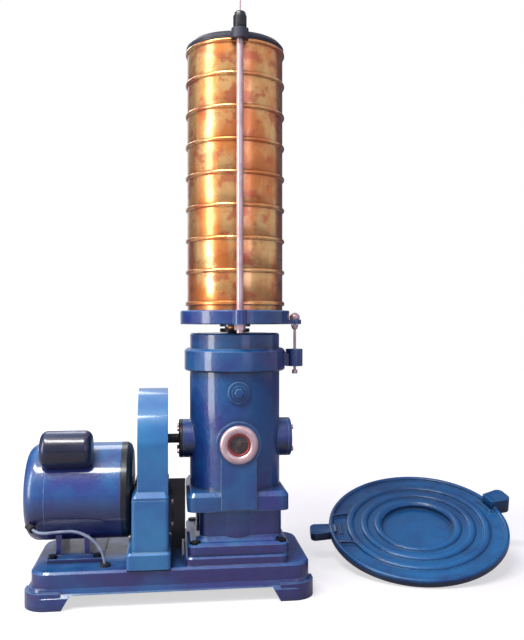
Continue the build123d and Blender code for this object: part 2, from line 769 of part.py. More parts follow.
driven_r = driven_pitch_r + belt_above_pitch
small_pulley_r = motor_pitch_r + belt_above_pitch
half_pulley = pulley_width / 2
web = 4.0
hub_r = 20.0
rim_in = driven_r - 18
seat_r = input_journal_r - 1
pieces["driven_pulley"] = turned_x(
    [
        (belt_x - half_pulley - 3, seat_r), (belt_x + half_pulley + 3, seat_r), (belt_x + half_pulley + 3, hub_r),
        (belt_x + web, hub_r), (belt_x + web, rim_in), (belt_x + half_pulley, rim_in),
        (belt_x + half_pulley, driven_r),
    ]
    + groove(driven_r)
    + [
        (belt_x - half_pulley, driven_r), (belt_x - half_pulley, rim_in), (belt_x - web, rim_in),
        (belt_x - web, hub_r), (belt_x - half_pulley - 3, hub_r),
    ],
    0,
    input_z,
)
pieces["motor_pulley"] = turned_x(
    [
        (belt_x - half_pulley, motor_shaft_r), (belt_x + half_pulley, motor_shaft_r),
        (belt_x + half_pulley, small_pulley_r),
    ]
    + groove(small_pulley_r)
    + [(belt_x - half_pulley, small_pulley_r)],
    motor_y,
    motor_z,
)

# Motor
bore_r = motor_r - motor_wall
foot_top = bed_top + motor_foot_thick
frame = cyl_x(motor_r, motor_rear, motor_front, motor_y, motor_z)
frame = frame + block(motor_foot_x0, motor_foot_x1, motor_foot_y0, motor_foot_y1, bed_top, foot_top)
for leg_x in (motor_foot_x0 + 15, motor_foot_x1 - 39):
    frame = frame + block(leg_x, leg_x + 12, motor_foot_y0 + 26, motor_foot_y1 - 26, foot_top, motor_z - 50)
wall_x = motor_rear + 15
frame = frame - cyl_x(bore_r, wall_x, motor_front + 1, motor_y, motor_z)
frame = frame - cyl_x(bearing_r, motor_rear - 3, wall_x + 7, motor_y, motor_z)
frame = frame - cyl_x(bore_r - 7, motor_rear - 1, motor_rear + 6, motor_y, motor_z)
for hx, hy in motor_bolt_spots:
    frame = frame - cyl_z(motor_bolt_r, bed_top - 1, foot_top + 1, hx, hy)
pieces["motor_frame"] = frame
pieces["motor_bolts"] = [
    cyl_z(motor_bolt_r, deck_low - 2, foot_top, hx, hy) + hex_z(motor_bolt_r + 3.7, foot_top, foot_top + 6, hx, hy)
    for hx, hy in motor_bolt_spots
]
pieces["stator"] = cyl_x(bore_r, core_x0, core_x1, motor_y, motor_z) - cyl_x(
    rotor_r + air_gap, core_x0 - 1, core_x1 + 1, motor_y, motor_z
)
shield_seat = motor_front + 4
pieces["drive_end_shield"] = turned_x(
    [
        (motor_front, bore_r), (motor_front, motor_r), (shield_x - 11, motor_r), (shield_x - 4, motor_r - 5),
        (shield_x, motor_r - 17), (shield_x, input_journal_r + free_gap), (shield_x - 5, input_journal_r + free_gap),
        (shield_x - 5, bearing_r), (shield_seat, bearing_r), (shield_seat, bearing_r + 6.5),
        (shield_x - 8, bearing_r + 6.5), (shield_x - 8, motor_r - 15), (motor_front + 8, bore_r),
    ],
    motor_y,
    motor_z,
)
fan_cover = cyl_x(motor_r, fan_cover_x, motor_rear, motor_y, motor_z)
fan_cover = fillet(fan_cover.edges().group_by(Axis.X)[0], fan_cover_round)
fan_inside = cyl_x(motor_r - fan_cover_sheet, fan_cover_x + fan_cover_sheet, motor_rear + 1, motor_y, motor_z)
fan_inside = fillet(fan_inside.edges().group_by(Axis.X)[0], fan_cover_round - fan_cover_sheet)
fan_cover = fan_cover - fan_inside
for ring, turn in ((30, 0.0), (50, 22.5)):
    for k in range(8):
        a = radians(45 * k + turn)
        fan_cover = fan_cover - cyl_x(
            6, fan_cover_x - 5, fan_cover_x + 5, motor_y + ring * cos(a), motor_z + ring * sin(a)
        )
pieces["fan_cover"] = fan_cover
journal = bearing_r - 13.5
rotor = turned_x(
    [
        (fan_cover_x + 11, 0), (fan_cover_x + 11, journal - 2), (motor_rear - 4, journal - 2), (motor_rear - 4, journal),
        (wall_x + 3, journal), (wall_x + 3, journal + 4), (core_x0, journal + 4), (core_x0, rotor_r),
        (core_x1, rotor_r), (core_x1, journal + 4), (motor_front, journal + 4), (motor_front, journal),
        (shield_x + 3, journal), (shield_x + 3, motor_shaft_r), (belt_x + half_pulley + 3, motor_shaft_r),
        (belt_x + half_pulley + 3, 0),
    ],
    motor_y,
    motor_z,
)
pieces["rotor"] = rotor
fan_r = motor_r - fan_tip_gap
fan_x0 = fan_cover_x + 15
fan_x1 = motor_rear - 6
fan = cyl_x(fan_hub_r, fan_x0, fan_x1, motor_y, motor_z)
fan = fan + cyl_x(fan_r, fan_x1 - fan_disc, fan_x1, motor_y, motor_z)
for k in range(6):
    blade = block(fan_x0 + 2, fan_x1 - fan_disc, -fan_blade / 2, fan_blade / 2, fan_hub_r - 2, fan_r)
    fan = fan + Pos(0, motor_y, motor_z) * Rot(60 * k, 0, 0) * blade
pieces["cooling_fan"] = fan - cyl_x(journal - 2, fan_x0 - 1, fan_x1 + 1, motor_y, motor_z)
pieces["motor_bearings"] = [
    cyl_x(bearing_r, x0, x0 + bearing_width, motor_y, motor_z)
    - cyl_x(journal + running_gap, x0 - 1, x0 + bearing_width + 1, motor_y, motor_z)
    for x0 in (motor_rear + 1, shield_seat)
]
cover = cyl_x(cap_cover_r, cap_cover_x0, cap_cover_x1, cap_cover_y, cap_cover_z)
cover = fillet(cover.edges().filter_by(GeomType.CIRCLE), cap_cover_round)
saddle_x0 = cap_cover_x0 + cap_cover_round / 2
saddle_x1 = cap_cover_x1 - cap_cover_round / 2
saddle = block(saddle_x0, saddle_x1, cap_cover_y, motor_y - 10, cap_cover_z - cap_cover_r, cap_cover_z)
cover = cover + (saddle & cyl_x(motor_r + 61, saddle_x0, saddle_x1, motor_y, motor_z))
inside_x0 = cap_cover_x0 + cap_cover_wall
inside_x1 = cap_cover_x1 - cap_cover_wall
inside = cyl_x(cap_cover_r - cap_cover_wall, inside_x0, inside_x1, cap_cover_y, cap_cover_z)
inside = fillet(inside.edges().filter_by(GeomType.CIRCLE), cap_cover_round - cap_cover_wall)
cover = cover - inside
cover = cover - cyl_x(motor_r, cap_cover_x0 - 1, cap_cover_x1 + 1, motor_y, motor_z)
pieces["capacitor_cover"] = cover
away = hypot(cap_cover_y - motor_y, cap_cover_z - motor_z)
rise = cap_cover_r - cap_cover_wall - capacitor_r - seat_gap
capacitor_y = cap_cover_y + rise * (cap_cover_y - motor_y) / away
capacitor_z = cap_cover_z + rise * (cap_cover_z - motor_z) / away
pieces["capacitor"] = cyl_x(
    capacitor_r, cap_cover_x0 + cap_cover_round + 1, cap_cover_x1 - cap_cover_round - 1, capacitor_y, capacitor_z
)

# Motor lead, from a gland on the motor to a gland in the bed
lead_points = [
    Vector(-418.6, -59.7, 146.5), Vector(-407, -76, 141.5), Vector(-388, -84, 139.5), Vector(-360, -82, 142),
    Vector(-322, -78, 141), Vector(-289, -84, 123), Vector(gland_x - 0.4, gland_y, bed_top + 20),
    Vector(gland_x, gland_y, bed_top - 10),
]
lead_runs = [b - a for a, b in zip(lead_points, lead_points[1:])]
lead_radii = []
for before, after in zip(lead_runs, lead_runs[1:]):
    half_turn = radians(before.get_angle(after)) / 2
    lead_radii.append(0.45 * min(before.length, after.length) / tan(half_turn))
lead_path = FilletPolyline(*lead_points, radius=lead_radii)
lead = sweep(Plane(origin=lead_points[0], z_dir=lead_runs[0]) * Circle(lead_r), path=lead_path)
pieces["motor_lead"] = lead
lead_volume = pi * lead_r ** 2 * lead_path.length
print("lead radii", [round(r) for r in lead_radii], "length", round(lead_path.length, 1))
print("lead volume over section times length", round(lead.volume / lead_volume, 4))
gland_low = cyl_z(gland_neck_r, deck_low, bed_top, gland_x, gland_y)
gland_low = gland_low + cyl_z(gland_r, bed_top, bed_top + 6, gland_x, gland_y)
gland_low = gland_low - cyl_z(lead_r + 0.5, deck_low - 1, bed_top + 7, gland_x, gland_y)
gland_axis = Plane(origin=lead_points[0], z_dir=lead_runs[0]).location
gland_up = gland_axis * Cylinder(gland_r - 3, 22)
gland_up = gland_up - cyl_x(motor_r + running_gap, fan_cover_x - 5, motor_front, motor_y, motor_z)
gland_up = gland_up - gland_axis * Cylinder(lead_r + 0.5, 60)
pieces["lead_glands"] = [gland_low, gland_up]

# Bearings, camshaft cups and seal
pieces["spindle_bearings"] = [
    cyl_z(spindle_bearing_r, z0, z0 + spindle_bearing_width)
    - cyl_z(spindle_journal_r + running_gap, z0 - 1, z0 + spindle_bearing_width + 1)
    for z0 in (lower_seat, upper_seat)
]
pieces["input_bearings"] = [
    cyl_x(bearing_r, x0, x0 + bearing_width, 0, input_z)
    - cyl_x(input_journal_r + running_gap, x0 - 1, x0 + bearing_width + 1, 0, input_z)
    for x0 in (-bearing_out, input_bearing_x)
]
cup_in = chamber_r - 1
camshaft_end = cup_out - 5.5
pieces["camshaft_bushes"] = [
    cyl_x(cup_r, cup_in, cup_out - 1, 0, cam_z) - cyl_x(camshaft_r + running_gap, cup_in - 1, camshaft_end + 1, 0, cam_z),
    cyl_x(cup_r, -cup_out + 1, -cup_in, 0, cam_z)
    - cyl_x(camshaft_r + running_gap, -camshaft_end - 1, -cup_in + 1, 0, cam_z),
]
pieces["spindle_seal"] = cyl_z(spindle_bearing_r, head_top - seal_thick, head_top) - cyl_z(
    spindle_journal_r + running_gap, head_top - seal_thick - 1, head_top + 1
)

# Spindle with its eccentric journal
lifter_low = cam_z + cam_nose_reach + seat_gap
slot_low = lifter_low + lifter_bar
slot_high = input_z + input_core_r + free_gap
yoke_top = slot_high + lifter_bar
spindle_low = yoke_top + tap_travel + 2.5
rod_bore_r = push_rod_r + running_gap
gear_hub_r = 24.0
gear_bore_r = spindle_journal_r - 3
gear_high = spindle_low + 15.5
eccentric_top = crank_high + eccentric_height
spindle = turned_z(
    [
        (rod_bore_r, spindle_low), (gear_bore_r, spindle_low), (gear_bore_r, gear_high),
        (spindle_journal_r - 1, gear_high), (spindle_journal_r - 1, lower_seat - 2),
        (spindle_journal_r, lower_seat - 2), (spindle_journal_r, lower_seat + spindle_bearing_width + 1),
        (spindle_shoulder_r, lower_seat + spindle_bearing_width + 1), (spindle_shoulder_r, upper_seat - 1),
        (spindle_journal_r, upper_seat - 1), (spindle_journal_r, crank_low), (crank_r - 1, crank_low),
        (crank_r, crank_low + 1), (crank_r, crank_high), (rod_bore_r, crank_high),
    ]
)
spindle = spindle + cyl_z(eccentric_r, crank_high - 1, eccentric_top, 0, tray_y)
pieces["spindle"] = spindle - cyl_z(rod_bore_r, crank_low, eccentric_top + 1)

# Bevel pair, with the common apex on the input shaft's axis under the spindle
gear_pitch_r = bevel_module * gear_teeth / 2
pinion_pitch_r = bevel_module * pinion_teeth / 2
cone_length = hypot(gear_pitch_r, pinion_pitch_r)
gear_angle = atan2(gear_pitch_r, pinion_pitch_r)
pinion_angle = atan2(pinion_pitch_r, gear_pitch_r)
outer = root_point(gear_angle, cone_length, bevel_module, 1.0)
inner = root_point(gear_angle, cone_length, bevel_module, bevel_inner_share)
web_low = spindle_low - input_z + 0.5
gear = turned_z(
    [
        inner, outer, (outer[0] + 1.3, outer[1] + 2.7), (outer[0] + 1.3, web_low + 2), (gear_hub_r, web_low + 2),
        (gear_hub_r, gear_high - input_z), (gear_bore_r, gear_high - input_z), (gear_bore_r, web_low),
        (gear_hub_r - 3, web_low), (gear_hub_r - 3, inner[1] + 0.6),
    ]
)
gear = gear + bevel_teeth(gear_teeth, gear_angle, cone_length, bevel_module, bevel_inner_share, 180)
pieces["bevel_gear"] = Pos(0, 0, input_z) * gear
outer = root_point(pinion_angle, cone_length, bevel_module, 1.0)
inner = root_point(pinion_angle, cone_length, bevel_module, bevel_inner_share)
pinion = turned_z(
    [
        (input_core_r, inner[1]), inner, outer, (outer[0] + 0.3, outer[1] + 1), (outer[0] + 0.3, outer[1] + 15),
        (input_core_r, outer[1] + 15),
    ]
)
pinion = pinion + bevel_teeth(
    pinion_teeth, pinion_angle, cone_length, bevel_module, bevel_inner_share, 180.0 / pinion_teeth
)
pinion = pinion - cyl_z(input_core_r, inner[1] - 9, outer[1] + 20)
# the pinion's local z points along -x and its local x along +z
facing = Plane(origin=(0, 0, input_z), x_dir=(0, 0, 1), z_dir=(-1, 0, 0)).location
pieces["bevel_pinion"] = facing * pinion

# Input shaft, with the tap drive's pinion cut on it, the cam gear and the camshaft
shaft_step = outer[1] + 19
shaft_left = belt_x - half_pulley - 9
shaft = turned_x(
    [
        (shaft_left, 0), (shaft_left, seat_r), (belt_x + half_pulley + 5, seat_r),
        (belt_x + half_pulley + 5, input_journal_r), (-shaft_step, input_journal_r), (-shaft_step, input_core_r),
        (shaft_step, input_core_r), (shaft_step, input_journal_r), (side_boss_reach - 2, input_journal_r),
        (side_boss_reach - 2, 0),
    ],
    0,
    input_z,
)
tap_x1 = tap_gear_x + tap_gear_width
shaft = shaft + spur_x(
    tap_pinion_teeth, tap_module, tap_gear_x, tap_x1, 0, input_z, -90 + 180.0 / tap_pinion_teeth
)
pieces["input_shaft"] = shaft
cam_gear_r = tap_module * cam_gear_teeth / 2
cam_hub_r = 13.0
cam_seat_r = camshaft_r + 1
cam_gear = spur_x(cam_gear_teeth, tap_module, tap_gear_x, tap_x1, 0, cam_z, 90)
for x0, x1 in ((tap_gear_x - 1, tap_gear_x + 2), (tap_x1 - 2, tap_x1 + 1)):
    cam_gear = cam_gear - (cyl_x(cam_gear_r - 8, x0, x1, 0, cam_z) - cyl_x(cam_hub_r, x0, x1, 0, cam_z))
pieces["cam_gear"] = cam_gear - cyl_x(cam_seat_r, tap_gear_x - 1, tap_x1 + 1, 0, cam_z)
lobe = make_hull(Circle(cam_base_r).edges() + (Pos(0, -cam_base_r) * Circle(cam_nose_r)).edges())
lobe = Plane.YZ.offset(-cam_width / 2) * lobe
camshaft = cyl_x(camshaft_r, -camshaft_end, camshaft_end, 0, cam_z)
camshaft = camshaft + cyl_x(cam_seat_r, cam_width / 2, tap_x1, 0, cam_z)
camshaft = camshaft + Pos(0, 0, cam_z) * extrude(lobe, amount=cam_width, dir=(1, 0, 0))
pieces["camshaft"] = camshaft

# Lifter: a slotted foot around the input shaft, and the push rod in the hollow spindle
half_foot = lifter_width / 2
lifter = block(-half_foot, half_foot, -lifter_half_y, lifter_half_y, lifter_low, yoke_top)
lifter = lifter - block(-half_foot - 1, half_foot + 1, -lifter_slot_half, lifter_slot_half, slot_low, slot_high)
pieces["lifter"] = lifter + cyl_z(push_rod_r, yoke_top - 1, tray_floor_low - seat_gap)

# Eccentric bush, tray bearing and tray
bush_in = eccentric_r + running_gap
pieces["eccentric_bush"] = turned_z(
    [
        (bush_in, bush_low), (bush_flange_r, bush_low), (bush_flange_r, bush_low + bush_flange),
        (bush_r, bush_low + bush_flange), (bush_r, tray_floor_low - 1), (bush_in, tray_floor_low - 1),
    ],
    0,
    tray_y,
)
pieces["tray_bearing"] = cyl_z(tray_bearing_r, tray_bearing_low, tray_bearing_high, 0, tray_y) - cyl_z(
    bush_r + running_gap, tray_bearing_low - 1, tray_bearing_high + 1, 0, tray_y
)
hub_low = bush_low + 4
hub_out = tray_bearing_r + tray_hub_wall
seat_out = sieve_wall_r + 0.7
tray = turned_z(
    [
        (0, tray_floor_low), (tray_bearing_r, tray_floor_low), (tray_bearing_r, hub_low), (hub_out, hub_low),
        (hub_out, tray_floor_low), (tray_r - 11, tray_floor_low), (tray_r - 9, tray_low), (tray_r - 2, tray_low),
        (tray_r, tray_low + 2), (tray_r, tray_top - 2), (tray_r - 2, tray_top), (seat_out + 2, tray_top),
        (seat_out, tray_top - 2), (seat_out, tray_floor_top), (0, tray_floor_top),
    ]
)
ear = block(tray_r - 12, ear_x, -ear_half, ear_half, tray_low, tray_floor_low) + cyl_z(
    ear_half + 1, tray_low, tray_floor_low, ear_x, 0
)
tray = tray + ear
for s in (-1, 1):
    tray = tray + cyl_z(rod_boss_r, tray_low, tray_top, 0, s * rod_offset)
tray = tray - cyl_z(seat_out, tray_floor_top, tray_top + 1)
tray = tray - Pos(ear_x, 0, ball_z) * Sphere(ball_r + 0.15)
tray = tray - cyl_z(guide_rod_r + 1, tray_low - 5, ball_z, ear_x, 0)
for s in (-1, 1):
    tray = tray - cyl_z(rod_r, tray_low - 5, tray_top + 5, 0, s * rod_offset)
pieces["tray"] = Pos(0, tray_y, 0) * tray

# Sieve stack
wall_in = sieve_wall_r - sieve_wall
skirt_in = skirt_r - skirt_wall


def bead(top):
    return [
        (sieve_wall_r, top - bead_height), (bead_r - 1.5, top - bead_height), (bead_r, top - bead_height + 2),
        (bead_r, top - 2.5), (bead_r - 2, top), (wall_in, top),
    ]


pieces["receiver_pan"] = turned_z(
    [(0, tray_floor_top), (sieve_wall_r, tray_floor_top)]
    + bead(pan_top)
    + [(wall_in, tray_floor_top + sieve_wall), (0, tray_floor_top + sieve_wall)],
    0,
    tray_y,
)
meshes = []
for i in range(sieve_count):
    z0 = pan_top + sieve_pitch * i
    pieces["sieve_%d" % (i + 1)] = turned_z(
        [(skirt_in, z0 - skirt_depth), (skirt_r, z0 - skirt_depth), (skirt_r, z0), (sieve_wall_r, z0)]
        + bead(z0 + sieve_pitch)
        + [(wall_in, z0 + 2), (skirt_in, z0 + 2)],
        0,
        tray_y,
    )
    meshes.append(cyl_z(skirt_in, z0, z0 + mesh_thick, 0, tray_y))
pieces["sieve_meshes"] = meshes
pieces["lid"] = turned_z(
    [
        (0, stack_top), (skirt_in, stack_top), (skirt_in, stack_top - 8), (skirt_r, stack_top - 8),
        (skirt_r, stack_top), (bead_r - 1.5, stack_top), (bead_r - 1.5, plate_low), (0, plate_low),
    ],
    0,
    tray_y,
)

# Clamp rods, plate and hand nuts
rods = []
for s in (-1, 1):
    y = tray_y + s * rod_offset
    rod = cyl_z(rod_r, tray_low - rod_drop, nut_top - 6, 0, y)
    rod = rod + cyl_z(rod_tip_r, nut_top - 7, rod_top, 0, y)
    rods.append(rod + hex_z(rod_nut_r, tray_low - 11, tray_low, 0, y))
pieces["clamp_rods"] = rods
plate_top = plate_low + clamp_plate_thick
plate = turned_z(
    [
        (0, plate_low), (clamp_plate_r - 1, plate_low), (clamp_plate_r, plate_low + 1),
        (clamp_plate_r, plate_low + 6), (clamp_plate_r - 6, plate_top), (0, plate_top),
    ]
)
lug_in = bead_r + 1.5
for s in (-1, 1):
    reach = sorted((s * (clamp_plate_r - lug_root), s * rod_offset))
    low_reach = sorted((s * lug_in, s * rod_offset))
    lug = block(-lug_half, lug_half, reach[0], reach[1], plate_low, lug_high)
    lug = lug + block(-lug_half, lug_half, low_reach[0], low_reach[1], lug_low, lug_high)
    lug = lug + (
        cyl_z(lug_half, lug_low, lug_high, 0, s * rod_offset) - cyl_z(lug_in, lug_low - 5, plate_low)
    )
    plate = plate + lug
for s in (-1, 1):
    plate = plate - cyl_z(clamp_hole_r, lug_low - 5, plate_top + 5, 0, s * rod_offset)
pieces["clamp_plate"] = Pos(0, tray_y, 0) * plate
for name, s in (("front_hand_nut", -1), ("rear_hand_nut", 1)):
    pieces[name] = turned_z(
        [
            (rod_r + running_gap, lug_high), (hand_nut_r - 1.5, lug_high), (hand_nut_r, lug_high + 2),
            (hand_nut_r, nut_top - 4), (hand_nut_r - 2.5, nut_top), (rod_r + running_gap, nut_top),
        ],
        0,
        tray_y + s * rod_offset,
    )

# Guide rod, hanging from its ball in the tray's ear
guide_low = ball_z - guide_rod_drop
cone_top = tray_low - 0.6
guide = (Pos(ear_x, tray_y, ball_z) * Sphere(ball_r)) + cyl_z(guide_rod_r, guide_low, ball_z, ear_x, tray_y)
guide = guide + turned_z(
    [(0, cone_top - 10.4), (5, cone_top - 10.4), (8, cone_top - 2.4), (8, cone_top), (0, cone_top)], ear_x, tray_y
)
guide = guide + hex_z(guide_rod_r * 2, guide_low, guide_low + 8, ear_x, tray_y)
pieces["guide_rod"] = guide

# Loose tray, tipped on its rim and its hub beside the bed
t = spare_thick
rings = [
    (0, 0), (spare_r - 7, 0), (spare_r, 5), (spare_r, t - 1), (spare_r - 4, t + 3), (spare_r - 9, t + 3),
    (spare_r - 15, t - 3), (0.76 * spare_r, t - 4), (0.735 * spare_r, t + 2), (0.70 * spare_r, t + 2),
    (0.675 * spare_r, t - 4), (0.61 * spare_r, t - 4), (0.585 * spare_r, t + 2), (0.55 * spare_r, t + 2),
    (0.525 * spare_r, t - 4), (0.46 * spare_r, t - 4), (0.44 * spare_r, t + 1), (0.405 * spare_r, t + 1),
    (0.395 * spare_r, spare_floor), (0, spare_floor),
]
spare = turned_z(rings)
for angle, reach, width, high in ((190.0, 45.0, 21.0, 4.0), (28.0, 40.0, 27.0, 20.0)):
    lug = slab(spare_r - 14, spare_r + reach, -width, width, 0, t + high, width - 1)
    spare = spare + Rot(0, 0, angle) * lug
for angle, turn in ((172.0, 24.0), (207.0, -24.0)):
    rib = Pos(0.87 * spare_r, 0, 0) * Rot(0, 0, turn) * block(-27, 27, -3.5, 3.5, t - 7, t + 1)
    spare = spare + Rot(0, 0, angle) * rib
spare = spare + cyl_z(6, 1, spare_floor + 1.5)
hub_drop = (spare_r - spare_hub_r) * tan(radians(spare_tilt))
spare = spare + cyl_z(spare_hub_r, -hub_drop, 2)
spare_z = spare_r * sin(radians(spare_tilt))
pieces["spare_tray"] = Pos(spare_x, spare_y, spare_z) * Rot(0, 0, spare_turn) * Rot(spare_tilt, 0, 0) * spare

for name, shape in pieces.items():
    listed = shape if isinstance(shape, list) else [shape]
    solids = [Pos(spindle_x, 0, 0) * solid for one in listed for solid in one.solids()]
    body = solids[0] if len(solids) == 1 else Compound(children=solids)
    export_step(body, "parts/%s.step" % name)
print(len(pieces), "pieces")
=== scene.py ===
import json
import bpy
from math import cos, pi, radians, sin, tan
from mathutils import Matrix, Vector


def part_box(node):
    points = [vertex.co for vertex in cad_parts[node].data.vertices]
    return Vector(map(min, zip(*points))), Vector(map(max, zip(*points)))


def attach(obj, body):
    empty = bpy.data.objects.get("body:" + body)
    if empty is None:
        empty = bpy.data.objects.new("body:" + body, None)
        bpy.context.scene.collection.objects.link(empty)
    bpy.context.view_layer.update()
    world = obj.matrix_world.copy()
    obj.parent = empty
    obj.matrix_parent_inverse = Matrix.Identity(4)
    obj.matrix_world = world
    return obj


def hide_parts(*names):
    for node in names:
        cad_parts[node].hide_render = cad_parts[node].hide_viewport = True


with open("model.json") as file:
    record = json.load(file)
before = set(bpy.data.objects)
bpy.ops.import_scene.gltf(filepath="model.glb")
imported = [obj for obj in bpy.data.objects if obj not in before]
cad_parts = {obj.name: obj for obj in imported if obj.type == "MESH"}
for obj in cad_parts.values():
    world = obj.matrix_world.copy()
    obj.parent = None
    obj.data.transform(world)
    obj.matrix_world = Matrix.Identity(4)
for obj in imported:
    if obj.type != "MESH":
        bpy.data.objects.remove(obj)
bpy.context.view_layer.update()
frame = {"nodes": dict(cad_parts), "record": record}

MM = 0.001
SIEVES = 8

# How far the spindle's axis stands right of the bed's middle, in millimetres
SPINDLE_SHIFT = 135.0


def srgb(red, green, blue):
    """A colour as the eye reads it, 0 to 255, made linear."""
    shades = []
    for value in (red, green, blue):
        share = value / 255
        shades.append(share / 12.92 if share <= 0.04045 else ((share + 0.055) / 1.055) ** 2.4)
    return (*shades, 1.0)


def from_spindle(x, y, z):
    """A place in metres, from millimetres that start at the spindle's axis and the floor."""
    return ((x + SPINDLE_SHIFT) * MM, y * MM, z * MM)


def deselect():
    bpy.ops.object.select_all(action="DESELECT")


def place_into_mesh():
    """Applies the selected piece's place, turn and size, so that its mesh holds them."""
    bpy.ops.object.transform_apply(location=True, rotation=True, scale=True)


# The camera, level and fitted to the bed, the column and the stack of sieves
FOCAL_PIXELS = 750
PHOTO_HEIGHT = 640
SENSOR_MM = 36
EYE = (-0.0041, -1.6171, 0.565)
EYE_TURN = -7

camera_data = bpy.data.cameras.new("camera")
camera_data.lens = SENSOR_MM * FOCAL_PIXELS / PHOTO_HEIGHT
camera_data.sensor_width = SENSOR_MM
camera = bpy.data.objects.new("camera", camera_data)
camera.location = EYE
camera.rotation_euler = (radians(90), 0, radians(EYE_TURN))
bpy.context.scene.collection.objects.link(camera)
bpy.context.scene.camera = camera


# Shader graphs
def feed(tree, socket, value):
    """Gives a socket a number, a colour or another node's output."""
    if isinstance(value, bpy.types.NodeSocket):
        tree.links.new(value, socket)
    else:
        socket.default_value = value


def put(tree, kind, settings=None, **inputs):
    """Adds a node and feeds its inputs by their names."""
    node = tree.nodes.new(kind)
    for key, value in (settings or {}).items():
        setattr(node, key, value)
    for key, value in inputs.items():
        feed(tree, node.inputs[key.replace("_", " ")], value)
    return node


def fresh_material(name, roughness, metallic=0.0):
    """A new material with its shader, and the place of each point on the object."""
    material = bpy.data.materials.new(name)
    material.use_nodes = True
    tree = material.node_tree
    shader = tree.nodes["Principled BSDF"]
    shader.inputs["Roughness"].default_value = roughness
    shader.inputs["Metallic"].default_value = metallic
    place = put(tree, "ShaderNodeTexCoord").outputs["Object"]
    return material, tree, shader, place


def noise(tree, place, scale, detail=4.0, rough=0.55):
    """Cloudy noise round 0.5, its scale in cells to the metre."""
    made = put(tree, "ShaderNodeTexNoise", Vector=place, Scale=scale, Detail=detail, Roughness=rough)
    return made.outputs[0]


def drawn_out(tree, place, across, up, detail, rough=0.6):
    """Noise with one scale across the object and another up it, for tool lines and streaks."""
    stretched = put(tree, "ShaderNodeMapping", Vector=place, Scale=(across, across, up)).outputs[0]
    return noise(tree, stretched, 1.0, detail, rough)


def reckon(tree, operation, *values):
    """One step of arithmetic on numbers and outputs."""
    node = put(tree, "ShaderNodeMath", {"operation": operation})
    for socket, value in zip(node.inputs, values):
        feed(tree, socket, value)
    return node.outputs[0]


def times(tree, first, second):
    return reckon(tree, "MULTIPLY", first, second)


def between(tree, value, low, high):
    """0 on low's side, 1 on high's side and a straight ramp from one to the other."""
    return put(tree, "ShaderNodeMapRange", Value=value, From_Min=low, From_Max=high).outputs[0]


def patchy(tree, place, scale, low, high, detail=6.0, rough=0.55):
    """Noise made into patches: 0 where it is under low, 1 where it is over high."""
    return between(tree, noise(tree, place, scale, detail, rough), low, high)


def blended(tree, share, first, second):
    """The first colour where the share is 0, the second where it is 1."""
    node = put(tree, "ShaderNodeMix", {"data_type": "RGBA"})
    for socket, value in zip((node.inputs[0], node.inputs[6], node.inputs[7]), (share, first, second)):
        feed(tree, socket, value)
    return node.outputs[2]


def tinted(tree, base, colour, mask, strength):
    """The base with a colour laid over it where the mask says, as strong as given at most."""
    return blended(tree, times(tree, mask, strength), base, colour)


def upward(tree, vector):
    """The upward share of a direction, or the height of a place."""
    return put(tree, "ShaderNodeSeparateXYZ", Vector=vector).outputs["Z"]


def crevice_shade(tree, distance, low, high):
    """1 deep in corners and seams, 0 in the open: the mask for painted shade there."""
    openness = put(tree, "ShaderNodeAmbientOcclusion", {"samples": 4}, Distance=distance).outputs["AO"]
    return reckon(tree, "SUBTRACT", 1.0, between(tree, openness, low, high))


def softened(tree, radius, samples=4):
    """The surface's direction, with sharp edges rounded by the radius."""
    return put(tree, "ShaderNodeBevel", {"samples": samples}, Radius=radius).outputs[0]


def relief(tree, shader, height, depth, direction):
    """Bumps of the given depth in metres on a surface that faces the given direction."""
    bump = put(tree, "ShaderNodeBump", Height=height, Distance=depth, Strength=0.8, Normal=direction)
    tree.links.new(bump.outputs[0], shader.inputs["Normal"])


def roughened(tree, shader, mask, least, spread):
    """Roughness from the least, up by the spread where the mask is 1."""
    feed(tree, shader.inputs["Roughness"], reckon(tree, "MULTIPLY_ADD", mask, spread, least))


def lacquered(shader, weight, roughness=0.1):
    """A clear coat over the finish."""
    shader.inputs["Coat Weight"].default_value = weight
    shader.inputs["Coat Roughness"].default_value = roughness


# Machine enamel: colours of its painted shade and of its bare undercoat, and the heights in metres between
# which the painted shade on low upright faces fades out
PAINTED_SHADE = srgb(13, 15, 32)
PAINTED_LOW_SHADE = srgb(42, 32, 94)
UNDERCOAT = srgb(62, 66, 78)
LOW_SHADE_FULL = 0.12
LOW_SHADE_GONE = 0.215
CHIP_EDGE = 0.02
ENAMEL_CORNER = 0.0028


def two_shades(tree, place, colour, shade):
    """Brushed paint: broad patches of both shades, and small ones of the second."""
    base = blended(tree, patchy(tree, place, 9.0, 0.42, 0.6, detail=5.0), colour, shade)
    return tinted(tree, base, shade, patchy(tree, place, 70.0, 0.3, 0.75, rough=0.7), 0.28)


def low_shade_mask(tree, place, rise):
    """Upright faces near the floor, in patches: where painted shade is laid low down."""
    low_down = between(tree, upward(tree, place), LOW_SHADE_GONE, LOW_SHADE_FULL)
    upright = reckon(tree, "SUBTRACT", 1.0, between(tree, rise, 0.05, 0.5))
    return times(tree, times(tree, low_down, upright), patchy(tree, place, 14.0, 0.2, 0.55, detail=5.0))


def wear_and_highlight_edges(tree, place, direction, rounded):
    """Sharp edges, in patches, where the rounded direction leaves the real one: the mask for lighter edges,
    partly worn paint and partly painted highlight.
    """
    alike = put(tree, "ShaderNodeVectorMath", {"operation": "DOT_PRODUCT"})
    for socket, value in zip(alike.inputs, (rounded, direction)):
        feed(tree, socket, value)
    edges = between(tree, alike.outputs["Value"], 0.995, 0.86)
    return times(tree, edges, patchy(tree, place, 38.0, 0.3, 0.62, rough=0.65))


